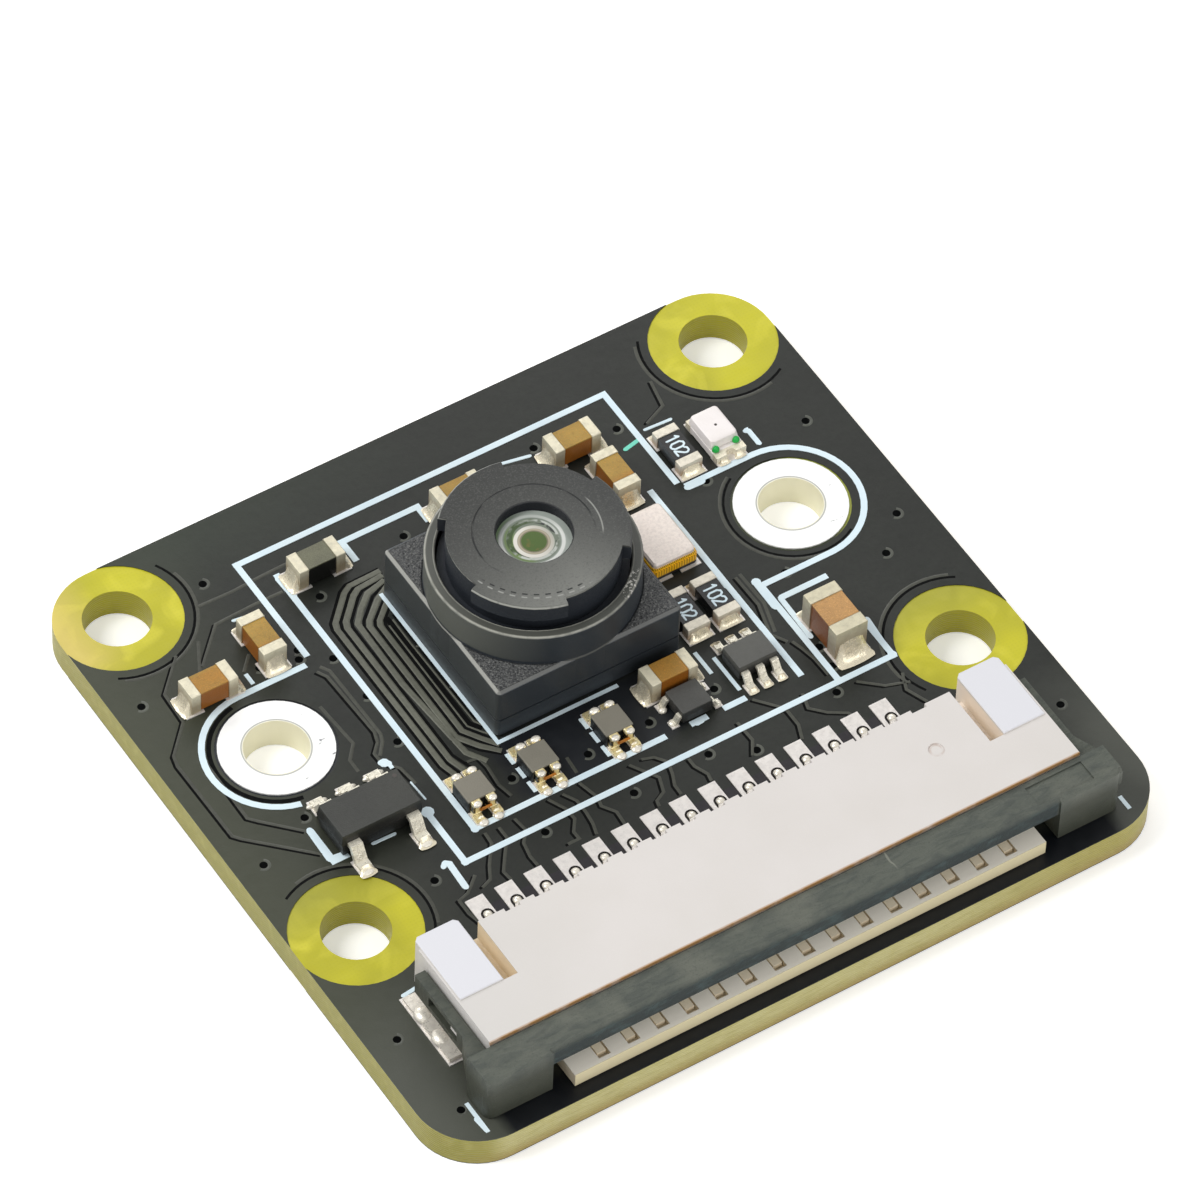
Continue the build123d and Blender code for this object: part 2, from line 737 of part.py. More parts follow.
def line_filter_ends(x, y):
    # Four end terminals, each waisted and spread into a foot on its pad.
    shapes = []
    inner = line_filter_length / 2 - line_filter_end_length
    for side in (-1, 1):
        middle = side * line_filter_end_spacing / 2
        half = line_filter_end_width / 2
        outer = inner + line_filter_end_length
        end = block(middle - half, middle + half, inner, outer, 0, line_filter_height)
        foot = block(middle - half + side * 0.06, middle + half + side * 0.06, inner + line_filter_end_length,
                     inner + line_filter_end_length + line_filter_foot, 0, 0.08)
        shapes.append(end + foot)
    placed = [Pos(x, y, seat) * shape for shape in shapes]
    return placed + [Pos(x, y, seat) * mirror(shape, about=Plane.XZ) for shape in shapes]


def line_filter_pads(x, y):
    inner = line_filter_length / 2 - line_filter_end_length
    shapes = []
    for side in (-1, 1):
        middle = side * (line_filter_end_spacing / 2 + 0.06)
        half = line_filter_end_width / 2 + 0.02
        outer = inner + line_filter_end_length + line_filter_foot + 0.04
        pad = block(middle - half, middle + half, inner, outer, -pad_thickness, 0)
        shapes += [pad, mirror(pad, about=Plane.XZ)]
    return [Pos(x, y, seat) * shape for shape in shapes]


def crystal_pads():
    x, y = crystal_place
    pad = block(0.15, crystal_width / 2 + 0.05, 0.35, crystal_length / 2 + pad_margin, -pad_thickness, 0)
    pads = both_sides(pad)
    pads += [mirror(shape, about=Plane.XZ) for shape in pads]
    return [Pos(x, y, seat) * shape for shape in pads]


def lamp_pads():
    x, y = lamp_place
    pad = block(-lamp_width / 2, lamp_width / 2, lamp_length / 2 - lamp_end_length - pad_margin,
                lamp_length / 2 + pad_margin, -pad_thickness, 0)
    return [Pos(x, y, seat) * shape for shape in (pad, mirror(pad, about=Plane.XZ))]


def component_pads():
    pads = chip_pads(small_chips + bead_chips, small_chip, small_chip_cap)
    pads += chip_pads(large_chips, large_chip, large_chip_cap)
    pads += chip_pads(resistor_chips, resistor_chip, resistor_cap)
    pads += crystal_pads() + lamp_pads()
    for place in line_filter_places:
        pads += line_filter_pads(*place)
    for spec in (regulator, switch_chip, sense_chip):
        pads += package_leads(spec, "pads")
    return pads


def socket_pads():
    half = contact_pad_width / 2
    pads = [block(x - half, x + half, contact_pad_front, contact_pad_back, top, seat)
            for x in contact_places()]
    anchor = block(anchor_inner + 0.3, anchor_outer + pad_margin / 2, anchor_front - pad_margin,
                   anchor_back + pad_margin, top, seat)
    return pads + both_sides(anchor)


os.makedirs("parts", exist_ok=True)
save("board_core", board_core())
save("solder_mask_top", solder_mask(top - mask_thickness, top))
save("solder_mask_bottom", solder_mask(0, mask_thickness))
save("plated_hole_left", plated_sleeve(*plated_holes[0]))
save("plated_hole_right", plated_sleeve(*plated_holes[1]))
save("printed_lines", printed_lines())
save("component_pads", component_pads())
save("socket_pads", socket_pads())

save("lens_holder", lens_holder())
save("holder_glue", holder_glue())
save("infrared_filter", infrared_filter())
save("sensor_solder_balls", sensor_balls())
save("sensor_die", sensor_layer(sensor_ball_height, sensor_die_thickness))
save("sensor_cover_glass", sensor_layer(sensor_ball_height + sensor_die_thickness, sensor_glass_thickness))
save("lens_barrel", lens_barrel())
save("front_lens_element", front_element())
save("light_stop", light_stop())
save("middle_lens_element", middle_element())
save("lens_spacer_ring", lens_spacer())
save("rear_lens_element", rear_element())
save("lens_retaining_ring", retainer())

save("socket_housing", socket_housing())
save("socket_slider", clamp_slider())
save("socket_contacts", [socket_contact(x) for x in contact_places()])
save("socket_anchor_tabs", both_sides(anchor_tab()))

save("capacitor_bodies", chip_group(small_chips, small_chip))
save("capacitor_end_caps", cap_group(small_chips, small_chip, small_chip_cap))
save("ferrite_bead_body", chip_group(bead_chips, small_chip))
save("ferrite_bead_end_caps", cap_group(bead_chips, small_chip, small_chip_cap))
save("large_capacitor_body", chip_group(large_chips, large_chip))
save("large_capacitor_end_caps", cap_group(large_chips, large_chip, large_chip_cap))
save("resistor_bodies", chip_group(resistor_chips, resistor_chip))
save("resistor_end_caps", cap_group(resistor_chips, resistor_chip, resistor_cap))
save("crystal_base", crystal_layer(0, crystal_base_height, 0))
save("crystal_seal_ring", crystal_layer(crystal_base_height, crystal_ring_height, crystal_lid_inset / 2))
save("crystal_lid", crystal_lid())
save("indicator_lamp_base", lamp_base())
save("indicator_lamp_lens", lamp_lens())
save("indicator_lamp_ends", lamp_ends())
save("regulator_body", package_body(regulator))
save("regulator_leads", package_leads(regulator, "leads"))
save("switch_chip_body", package_body(switch_chip))
save("switch_chip_leads", package_leads(switch_chip, "leads"))
save("sense_chip_body", package_body(sense_chip))
save("sense_chip_leads", package_leads(sense_chip, "leads"))
save("line_filter_bodies", [line_filter_body(*place) for place in line_filter_places])
save("line_filter_terminals", [end for place in line_filter_places for end in line_filter_ends(*place)])
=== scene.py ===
import bpy
from math import cos, hypot, pi, radians, sin
from mathutils import Matrix, Vector, noise


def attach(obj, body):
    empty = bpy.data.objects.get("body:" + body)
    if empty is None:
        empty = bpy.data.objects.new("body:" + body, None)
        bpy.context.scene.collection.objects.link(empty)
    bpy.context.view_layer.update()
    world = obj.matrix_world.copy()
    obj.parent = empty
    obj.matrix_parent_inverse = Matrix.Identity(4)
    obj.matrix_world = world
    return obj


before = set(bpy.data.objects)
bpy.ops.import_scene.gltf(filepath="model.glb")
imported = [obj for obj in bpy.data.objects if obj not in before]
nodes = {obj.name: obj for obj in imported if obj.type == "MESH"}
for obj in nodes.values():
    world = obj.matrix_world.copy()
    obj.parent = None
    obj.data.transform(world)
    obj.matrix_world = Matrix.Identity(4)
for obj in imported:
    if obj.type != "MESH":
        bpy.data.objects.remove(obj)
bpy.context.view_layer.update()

# Places and heights in millimetres, as in the CAD part
MM = 0.001
TOP = 1.1
SEAT = 1.14
BASE_TOP = 3.15
RIM_TOP = 4.32
BARREL_TOP = 5.27
LENS = (-0.09, 3.57)
PLATED_X, PLATED_Y = 9.0, 3.39
CORNER_HOLES = [(-10.5, -3.5), (10.5, -3.5), (-10.5, 10.0), (10.5, 10.0)]
RESISTORS = [(4.93, 1.32), (3.87, 1.32), (7.1, 6.75)]
LINE_FILTERS = [(-5.03, -1.15), (-2.83, -1.15), (-0.27, -1.15)]
CHIP_LENGTH = 1.6
CONTACTS = [i - 6.96 for i in range(15)]


def linear(rgb):
    """0 to 255 screen colour as linear light."""
    return [(v / 255 / 12.92) if v / 255 <= 0.04045 else ((v / 255 + 0.055) / 1.055) ** 2.4 for v in rgb]


def shade(rgb, amount):
    """The colour made darker or lighter."""
    return [min(255, v * amount) for v in rgb]


class Look:
    """A material made of nodes on the piece's own coordinates, counted in millimetres."""

    def __init__(self, name, rgb, rough=0.5, metal=0.0, **sockets):
        self.material = bpy.data.materials.new(name)
        self.material.use_nodes = True
        self.tree = self.material.node_tree
        self.shader = self.tree.nodes["Principled BSDF"]
        self.shader.inputs["Base Color"].default_value = (*linear(rgb), 1)
        self.shader.inputs["Roughness"].default_value = rough
        self.shader.inputs["Metallic"].default_value = metal
        for key, value in sockets.items():
            self.shader.inputs[key.replace("_", " ")].default_value = value
        scale = self.add("ShaderNodeVectorMath", operation="SCALE")
        scale.inputs["Scale"].default_value = 1000
        self.join(self.add("ShaderNodeTexCoord").outputs["Object"], scale.inputs[0])
        self.place = scale.outputs[0]
        self.color = None
        self.rgb = rgb
        self.normal = None

    def add(self, kind, **settings):
        node = self.tree.nodes.new(kind)
        for key, value in settings.items():
            setattr(node, key, value)
        return node

    def join(self, a, b):
        self.tree.links.new(a, b)

    def put(self, socket, value):
        if hasattr(value, "is_output"):
            self.join(value, socket)
        else:
            socket.default_value = value

    def math(self, operation, a, b=0.0, clamp=False):
        node = self.add("ShaderNodeMath", operation=operation, use_clamp=clamp)
        self.put(node.inputs[0], a)
        self.put(node.inputs[1], b)
        return node.outputs[0]

    def times(self, first, *others):
        """The product of its values. Shares of 0 to 1 limit a look to one place in this way."""
        for other in others:
            first = self.math("MULTIPLY", first, other)
        return first

    def apart(self, value, middle=0.0):
        """How far value lies from middle."""
        return self.math("ABSOLUTE", self.math("SUBTRACT", value, middle))

    def axis(self, name):
        split = self.add("ShaderNodeSeparateXYZ")
        self.join(self.place, split.inputs[0])
        return split.outputs[name]

    def stretched(self, stretch):
        if stretch == (1, 1, 1):
            return self.place
        node = self.add("ShaderNodeVectorMath", operation="MULTIPLY")
        self.join(self.place, node.inputs[0])
        node.inputs[1].default_value = stretch
        return node.outputs[0]

    def noise(self, scale, detail=2.0, rough=0.5, stretch=(1, 1, 1), distort=0.0):
        node = self.add("ShaderNodeTexNoise")
        self.join(self.stretched(stretch), node.inputs["Vector"])
        node.inputs["Scale"].default_value = scale
        node.inputs["Detail"].default_value = detail
        node.inputs["Roughness"].default_value = rough
        node.inputs["Distortion"].default_value = distort
        return node.outputs["Fac"]

    def cells(self, scale, stretch):
        node = self.add("ShaderNodeTexVoronoi", feature="F1")
        self.join(self.stretched(stretch), node.inputs["Vector"])
        node.inputs["Scale"].default_value = scale
        return node.outputs["Distance"]

    def wave(self, scale, direction, distort):
        node = self.add("ShaderNodeTexWave", bands_direction=direction)
        self.join(self.place, node.inputs["Vector"])
        node.inputs["Scale"].default_value = scale
        node.inputs["Distortion"].default_value = distort
        node.inputs["Detail"].default_value = 1.0
        return node.outputs["Fac"]

    def span(self, value, low, high, to_low=0.0, to_high=1.0, smooth=False):
        node = self.add("ShaderNodeMapRange", interpolation_type="SMOOTHSTEP" if smooth else "LINEAR")
        self.put(node.inputs["Value"], value)
        for key, number in zip(("From Min", "From Max", "To Min", "To Max"), (low, high, to_low, to_high)):
            node.inputs[key].default_value = number
        return node.outputs[0]

    def band(self, value, middle, half, soft):
        """1 inside middle plus or minus half, falling to 0 over soft."""
        return self.span(self.apart(value, middle), half, half + soft, 1.0, 0.0, smooth=True)

    def radius(self, x, y):
        """Distance from an upright axis."""
        dx = self.math("SUBTRACT", self.axis("X"), x)
        dy = self.math("SUBTRACT", self.axis("Y"), y)
        return self.math("SQRT", self.math("ADD", self.times(dx, dx), self.times(dy, dy)))

    def blend(self, rgb, *shares):
        """Lays a colour over what is there, as much as the product of its shares."""
        node = self.add("ShaderNodeMix", data_type="RGBA")
        self.put(node.inputs[0], self.times(*shares))
        if self.color is None:
            node.inputs[6].default_value = (*linear(self.rgb), 1)
        else:
            self.join(self.color, node.inputs[6])
        node.inputs[7].default_value = (*linear(rgb), 1)
        self.color = node.outputs[2]
        self.join(self.color, self.shader.inputs["Base Color"])

    def patches(self, scale, detail, low, high, share=1.0):
        """Patches of up to share, where a noise passes from low to high."""
        return self.span(self.noise(scale, detail), low, high, 0, share)

    def mottle(self, scale, detail, low, high, share, rgb):
        """Patches of another colour."""
        self.blend(rgb, self.patches(scale, detail, low, high, share))

    def rough(self, scale, detail, low, high):
        """Uneven gloss between two values of roughness."""
        self.join(self.span(self.noise(scale, detail), 0.3, 0.7, low, high), self.shader.inputs["Roughness"])

    def bump(self, height, size):
        """Raises the surface by up to size millimetres where height is 1."""
        node = self.add("ShaderNodeBump")
        node.inputs["Strength"].default_value = 1.0
        node.inputs["Distance"].default_value = size * MM
        self.join(height, node.inputs["Height"])
        if self.normal is not None:
            self.join(self.normal, node.inputs["Normal"])
        self.normal = node.outputs["Normal"]
        self.join(self.normal, self.shader.inputs["Normal"])

    def grain(self, scale, detail, size):
        """A noisy relief up to size millimetres high."""
        self.bump(self.noise(scale, detail), size)


def mask_look(name, rgb):
    look = Look(name, rgb, 0.36, Specular_IOR_Level=0.3)
    look.blend(shade(rgb, 1.16), look.patches(0.35, 3, 0.35, 0.7))
    look.mottle(7, 5, 0.42, 0.75, 0.45, shade(rgb, 0.78))
    look.mottle(26, 3, 0.58, 0.78, 0.35, shade(rgb, 1.35))
    look.rough(2.5, 3, 0.32, 0.46)
    look.grain(3.0, 2, 0.006)
    look.grain(28, 2, 0.0015)
    return look


def lacquer_look():
    """The board's lacquer, with painted light and shade: painted paler toward its left edge, with a painted
    sheen beside the socket's front corners, and painted shade near black in front of the socket and by the
    line filters."""
    look = mask_look("solder_mask", (32, 34, 30))
    x, y = look.axis("X"), look.axis("Y")
    # Painted light: the lacquer paler toward the left edge.
    look.blend((68, 71, 57), look.span(x, -7.0, -12.2, 0, 0.8))
    look.blend((52, 60, 48), look.span(y, 9.2, 11.6, 0, 0.5), look.span(x, 2, -8))
    # Painted sheen: paler lacquer beside the socket's front corners.
    corner_sheen = look.times(look.span(look.apart(x), 8.5, 11.0), look.span(y, -5.5, -8.5))
    look.blend((78, 80, 73), corner_sheen, 0.8)
    # Painted shade: near black lacquer round the line filters, with a ragged edge.
    edge = look.times(look.noise(1.6, 3), 0.5)
    wide = look.span(look.apart(look.math("ADD", x, edge), -0.7), 2.5, 3.0, 1, 0)
    deep = look.span(look.apart(look.math("ADD", y, edge), -0.7), 1.1, 1.4, 1, 0)
    look.blend((20, 23, 29), wide, deep, 0.8)
    # Painted shadow: near black lacquer in front of the socket, under its shelf.
    strip = look.times(look.span(y, -10.6, -11.0), look.span(look.apart(x), 10.7, 10.3))
    look.blend((9, 12, 18), strip, 0.95)
    return look


def tin_look(name, rgb, rough=0.3, grain=5, depth=0.004, metal=0.55):
    look = Look(name, rgb, rough, metal)
    look.mottle(grain, 4, 0.42, 0.75, 0.5, shade(rgb, 0.86))
    look.mottle(grain * 4, 3, 0.6, 0.8, 0.35, shade(rgb, 0.72))
    look.rough(grain * 1.5, 3, rough * 0.8, rough * 1.4)
    look.grain(grain, 3, depth * 3)
    look.grain(grain * 4, 2, depth)
    return look


def plastic_look(name, rgb, rough, grain, depth, tint=None, **sockets):
    look = Look(name, rgb, rough, **sockets)
    look.mottle(0.8, 4, 0.35, 0.7, 0.5, tint or shade(rgb, 0.9))
    look.rough(grain * 0.4, 3, rough * 0.85, rough * 1.15)
    look.grain(grain, 3, depth)
    return look


def bare_ring_look():
    """Tinned ring of a lens-side hole: near white, with a few grey scratches and a beige bore."""
    look = Look("tinned_ring", (250, 250, 248), 0.45, 0.15)
    look.mottle(2.2, 3, 0.4, 0.75, 0.35, (238, 238, 236))
    scratch = look.times(look.span(look.noise(3.0, 3, 0.6, (0.7, 2.2, 1.0)), 0.69, 0.72),
                        look.patches(0.9, 1, 0.5, 0.56))
    look.blend((128, 130, 132), scratch)
    for x in (-PLATED_X, PLATED_X):
        across = look.radius(x, PLATED_Y)
        look.blend((236, 232, 206), look.span(across, 1.02, 1.0))
        look.blend((176, 176, 168), look.band(across, 1.04, 0.012, 0.02))
    look.rough(5, 3, 0.38, 0.52)
    look.grain(4, 3, 0.006)
    return look


def board_look():
    """Bare glass-fibre board: yellow on the rings, straw at the sawn edge, with fibres, and painted light and
    shade round the plated rings, on the edge's faces and on the corner rings.
    """
    look = Look("bare_board", (196, 190, 36), 0.42, Specular_IOR_Level=0.4)
    x, y, z = look.axis("X"), look.axis("Y"), look.axis("Z")
    look.mottle(0.38, 2, 0.4, 0.6, 0.7, (170, 165, 34))
    look.blend((216, 208, 62), look.span(look.noise(0.7, 2, distort=1.0), 0.5, 0.7, 0, 0.6))
    weave = look.times(look.wave(2.6, "X", 0.6), look.wave(2.6, "Y", 0.6))
    look.blend((150, 146, 40), look.span(weave, 0.3, 0.9, 0, 0.1))
    # Painted shade: dark bare board round each plated ring, with a painted lit crescent at the right of the
    # right one.
    for hx, gap_shade in ((-PLATED_X, (30, 33, 38)), (PLATED_X, (52, 58, 36))):
        ring = look.span(look.radius(hx, PLATED_Y), 1.95, 1.9)
        look.blend(gap_shade, ring)
    look.blend((150, 156, 62), ring, look.span(x, 9.4, 10.2))
    side = look.span(z, TOP - 0.05, TOP - 0.035, 1.0, 0.0)
    layers = look.noise(9, 4, 0.6, (0.12, 0.12, 1.0))
    look.blend((164, 154, 76), side)
    # Painted light and shade on the sawn edge: the front face paler except toward the right, the right end
    # paler and warmer, the left end darker. The edge is also darker toward its bottom.
    front = look.times(look.span(y, -11.8, -11.92), look.span(x, 9.5, 4.0))
    look.blend((188, 181, 122), side, front)
    look.blend((166, 146, 82), side, look.span(z, 0.55, 0.1))
    look.blend((206, 178, 84), side, look.span(x, 12.2, 12.4))
    look.blend((142, 136, 50), side, look.span(x, -10.5, -12.0))
    look.blend((146, 135, 58), side, look.span(layers, 0.45, 0.65, 0, 0.4))
    look.blend((176, 166, 92), side, look.patches(3, 3, 0.5, 0.75, 0.4))
    # Painted shade: the back halves of the front corner rings darker.
    for hx, hy in CORNER_HOLES[:2]:
        back = look.times(look.span(y, -3.3, -1.8), look.span(look.radius(hx, hy), 2.5, 2.3))
        look.blend((134, 134, 56), back, 0.55)
    # Painted highlight: a pale pinkish patch on the left of the back-left corner ring's top.
    pale = look.times(look.span(x, -10.6, -12.2, 0, 0.6), look.span(y, 8.0, 9.0))
    look.blend((224, 198, 124), pale, look.span(z, TOP - 0.05, TOP - 0.035))
    ridged = look.span(look.noise(7, 3, 0.6, (0.5, 0.5, 2.4)), 0.4, 0.6, 0.75, 1.0)
    for hx, hy in CORNER_HOLES:
        wall = look.math("LESS_THAN", look.radius(hx, hy), 1.12)
        look.blend((168, 162, 30), wall, ridged, side)
    look.bump(look.times(look.wave(3.4, "Z", 0.3), side), 0.01)
    look.bump(layers, 0.012)
    look.grain(2.0, 2, 0.012)
    return look


def lens_barrel_look():
    """Barrel: its top painted darker at the back and right as shade, with an engraved circle and a dashed
    one, painted highlights at its edges, and painted shade on its upright faces and in the window's bore.
    """
    look = Look("barrel_plastic", (54, 55, 53), 0.5, Specular_IOR_Level=0.3)
    x, y, z = look.axis("X"), look.axis("Y"), look.axis("Z")
    # Painted light and shade: the top lighter toward the front and darker toward the right.
    lean = look.span(look.math("SUBTRACT", look.times(x, 0.2), y), -6.4, -1.2)
    look.blend((118, 119, 114), lean, lean)
    look.blend((54, 55, 54), look.span(x, 0.2, 2.4, 0, 0.85))
    look.mottle(20, 4, 0.5, 0.75, 0.4, (106, 107, 104))
    look.mottle(16, 4, 0.52, 0.8, 0.4, (44, 45, 45))
    across = look.radius(*LENS)
    circle = look.times(look.band(across, 1.82, 0.012, 0.02), look.span(y, 2.6, 3.6))
    look.blend((34, 35, 35), circle, look.patches(1.8, 2, 0.36, 0.46))
    glint = look.times(look.band(across, 2.02, 0.012, 0.02), look.span(x, 1.55, 1.7))
    look.blend((140, 141, 136), glint, look.band(y, 3.2, 0.5, 0.3))
    turn = look.math("ARCTAN2", look.math("SUBTRACT", y, LENS[1]), look.math("SUBTRACT", x, LENS[0]))
    dash = look.span(look.math("SINE", look.times(turn, 44)), -0.2, 0.3)
    down = look.math("ADD", look.times(x, 0.54), look.times(y, 0.84))
    front = look.times(look.span(down, 1.16, 1.0), dash)
    look.blend((34, 35, 35), look.band(across, 2.37, 0.016, 0.02), front)
    # Painted highlight: a broken pale band just outside the dashed circle.
    look.blend((146, 147, 142), look.band(across, 2.49, 0.014, 0.02), front)
    # Painted shade: the upright faces below the top darker and bluer.
    low = look.span(z, BARREL_TOP - 0.1, BARREL_TOP - 0.03, 1.0, 0.0)
    look.blend((38, 42, 48), low)
    # Painted highlight: a broken pale line along the top edge of the barrel's sides at the left.
    lip_highlight = look.times(look.band(z, BARREL_TOP - 0.045, 0.012, 0.015), look.span(x, 1.2, -0.6))
    look.blend((150, 151, 144), lip_highlight, look.patches(3, 2, 0.3, 0.45))
    # Painted shade: the window's bore near black.
    look.blend((5, 7, 18), look.span(across, 1.19, 1.145, 0.0, 1.0))
    look.rough(14, 3, 0.42, 0.58)
    look.bump(look.math("SUBTRACT", 1.0, circle), 0.02)
    look.grain(26, 4, 0.006)
    return look


def holder_look():
    """Black holder: gritty flats on the base painted lighter as lit tops, painted light on its left faces,
    painted highlights on its edges and rim, and painted shade in its bore.
    """
    look = Look("holder_plastic", (47, 52, 57), 0.42, Specular_IOR_Level=0.38)
    x, y, z = look.axis("X"), look.axis("Y"), look.axis("Z")
    look.mottle(1.4, 4, 0.35, 0.7, 0.5, (48, 52, 56))
    across = look.radius(*LENS)
    # Painted light: the collar's wall lighter toward the left.
    collar = look.span(z, BASE_TOP + 0.05, BASE_TOP + 0.09)
    look.blend((98, 100, 93), collar, look.span(x, -1.4, -3.3, 0, 0.85))
    # Painted light: the base's left face lighter.
    flank = look.times(look.span(x, LENS[0] - 3.1, LENS[0] - 3.18),
                       look.span(z, BASE_TOP + 0.05, BASE_TOP - 0.05))
    look.blend((66, 69, 68), flank, 0.7)
    # The base's upward flats, painted lighter as lit tops, with pale and dark grit.
    flat = look.times(look.band(z, BASE_TOP, 0.012, 0.01), look.span(across, 3.25, 3.3))
    grit = look.cells(11, (1, 1, 0.2))
    grain = look.noise(18, 5, 0.7)
    look.blend((84, 85, 85), flat, 0.9)
    look.blend((142, 142, 138), flat, look.span(grain, 0.52, 0.68))
    look.blend((30, 32, 34), flat, look.span(grain, 0.47, 0.36))
    # Painted highlights on the base's top edges, bright at the left and fainter at the front.
    edge = look.band(z, BASE_TOP - 0.06, 0.035, 0.02)
    look.blend((158, 158, 152), edge, look.span(x, LENS[0] - 3.06, LENS[0] - 3.1))
    look.blend((104, 105, 102), edge, look.span(y, LENS[1] - 3.06, LENS[1] - 3.1), 0.8)
    # Painted light: the rim's top paler.
    rim = look.span(z, RIM_TOP - 0.05, RIM_TOP - 0.02)
    look.blend((80, 81, 75), rim, 0.9)
    # Painted highlights, broken and strongest at the left, along the rim's outer and inner edges.
    pale = look.math("ADD", look.span(across, 3.15, 3.19), look.span(across, 2.98, 2.95))
    pale_patches = look.times(pale, look.span(look.noise(2.2, 3), 0.3, 0.5, 0.5, 1.0))
    look.blend((160, 160, 150), rim, pale_patches, look.span(x, 3.0, -1.5, 0.45, 1.0))
    patch = look.times(look.band(x, 1.75, 0.4, 0.1), look.band(y, 1.1, 0.45, 0.1))
    speck = look.times(patch, rim, look.patches(11, 2, 0.56, 0.6))
    look.blend((206, 204, 196), speck)
    # Painted shade: the bore's wall below the rim near black.
    bore = look.times(look.span(across, 2.93, 2.915), look.span(z, RIM_TOP - 0.04, RIM_TOP - 0.07))
    look.blend((12, 14, 28), bore)
    look.bump(look.times(flat, look.math("ADD", grain, grit)), 0.05)
    look.grain(20, 3, 0.004)
    return look


def housing_look():
    """Ivory housing: painted darker toward its left end, a painted cool sheen on its highest tops, brown
    painted shadow where the slider's rail meets its front, warm painted shade in its slots, a shelf painted
    paler against the slider's shade, an ejector mark.
    """
    look = Look("ivory_plastic", (217, 212, 208), 0.48, Specular_IOR_Level=0.4)
    x, y, z = look.axis("X"), look.axis("Y"), look.axis("Z")
    look.mottle(0.45, 3, 0.35, 0.7, 0.5, (210, 205, 199))
    look.mottle(14, 3, 0.6, 0.8, 0.3, (226, 224, 221))
    # Painted shade: darker toward the left end.
    look.blend((204, 202, 198), look.span(x, -5, -10, 0, 0.5))
    # Painted shade: warm tints on the slots' walls.
    slot = look.times(look.band(look.apart(x), 8.36, 0.255, 0.01), look.span(z, TOP + 1.89, TOP + 1.85))
    look.blend((240, 228, 214), slot, look.span(y, -8.45, -8.38))
    look.blend((234, 218, 190), slot, look.span(x, 8.2, 8.13))
    # Painted sheen: the highest tops cooler and paler.
    look.blend((220, 220, 225), look.span(z, TOP + 1.925, TOP + 1.945))
    # Painted shadow: brown along the housing's front where the slider's rail meets it.
    front = look.times(look.span(y, -10.03, -10.09), look.span(z, TOP + 1.74, TOP + 1.8))
    look.blend((168, 128, 82), front, look.span(look.noise(1.6, 3), 0.3, 0.5, 0.6, 1.0))
    # Painted light: the shelf paler than the housing, to lift it out of the slider's shade; warmer lower down
    # and at its front.
    shelf = look.times(look.span(y, -10.05, -10.1), look.span(z, 1.7, 1.68))
    look.blend((250, 244, 230), shelf)
    look.blend((240, 226, 198), shelf, look.span(z, TOP + 0.53, TOP + 0.5))
    look.blend((222, 210, 172), shelf, look.span(y, -11.47, -11.5))
    mark = look.band(look.radius(6.6, -7.85), 0.2, 0.02, 0.05)
    look.blend((190, 170, 158), mark, look.span(look.noise(4, 2), 0.4, 0.6, 0.1, 0.6))
    look.grain(18, 3, 0.002)
    return look


def slider_look():
    """Grey-green slider with flow marks and one crease; its front bar painted near black as shade, with paler
    patches, and its ears painted darker low down as shade.
    """
    look = Look("slider_plastic", (86, 90, 82), 0.5, Specular_IOR_Level=0.3)
    x, y, z = look.axis("X"), look.axis("Y"), look.axis("Z")
    flow = look.noise(1.2, 6, 0.62, (1.0, 3.2, 1.0), 0.8)
    look.blend((66, 71, 67), look.span(flow, 0.42, 0.62, 0, 0.75))
    look.mottle(0.6, 3, 0.5, 0.66, 0.6, (104, 106, 96))
    look.mottle(16, 4, 0.55, 0.75, 0.4, (50, 54, 51))
    bent = look.math("ADD", x, look.times(look.noise(1.5, 2), 0.3))
    crease = look.times(look.band(bent, 3.4, 0.015, 0.03), look.span(y, -10.9, -10.6))
    look.blend((120, 122, 112), crease)
    # Painted shade: the front bar's face near black teal.
    face = look.times(look.span(y, -11.05, -11.17), look.span(z, 2.86, 2.72))
    bar = look.times(face, look.span(look.apart(x), 8.75, 8.6))
    look.blend((26, 38, 40), bar, 0.92)
    # Paler streaky patches on the dark bar.
    pale_patches = look.span(look.noise(2.0, 4, 0.6, (1, 1, 2.5)), 0.5, 0.66, 0, 0.7)
    look.blend((58, 74, 74), bar, pale_patches)
    # Painted shade: the ears darker low down.
    ear = look.times(look.span(look.apart(x), 8.6, 8.75), look.span(z, 2.8, 2.2))
    look.blend((58, 60, 50), ear, 0.8)
    look.bump(flow, 0.03)
    look.grain(20, 3, 0.004)
    return look


def contact_look():
    """Spring contacts: bright at the soldered tails, painted pale, warm and matte where they lie in the
    shelf, to lift them out of the slider's shade.
    """
    look = tin_look("contact_alloy", (226, 220, 212), 0.3, 6, 0.003)
    # Painted light: pale, warm and not metal inside the shelf.
    inside = look.span(look.axis("Y"), -8.5, -9.5)
    look.blend((250, 236, 208), inside)
    look.join(look.span(look.axis("Y"), -8.5, -9.5, 0.5, 0.0), look.shader.inputs["Metallic"])
    return look


def ceramic_look(name, top, side, height, back=None):
    look = Look(name, top, 0.4, Specular_IOR_Level=0.4)
    if back:
        look.blend(back, look.span(look.axis("Y"), 6.3, 6.5))
    look.mottle(1.6, 4, 0.35, 0.7, 0.7, shade(back or top, 0.84))
    look.mottle(24, 4, 0.5, 0.72, 0.6, shade(top, 1.2))
    look.mottle(9, 4, 0.55, 0.75, 0.4, shade(top, 0.7))
    # Painted shade: the upright faces take the darker side colour.
    look.blend(side, look.span(look.axis("Z"), SEAT + height - 0.03, SEAT + height - 0.1))
    look.grain(20, 4, 0.008)
    return look


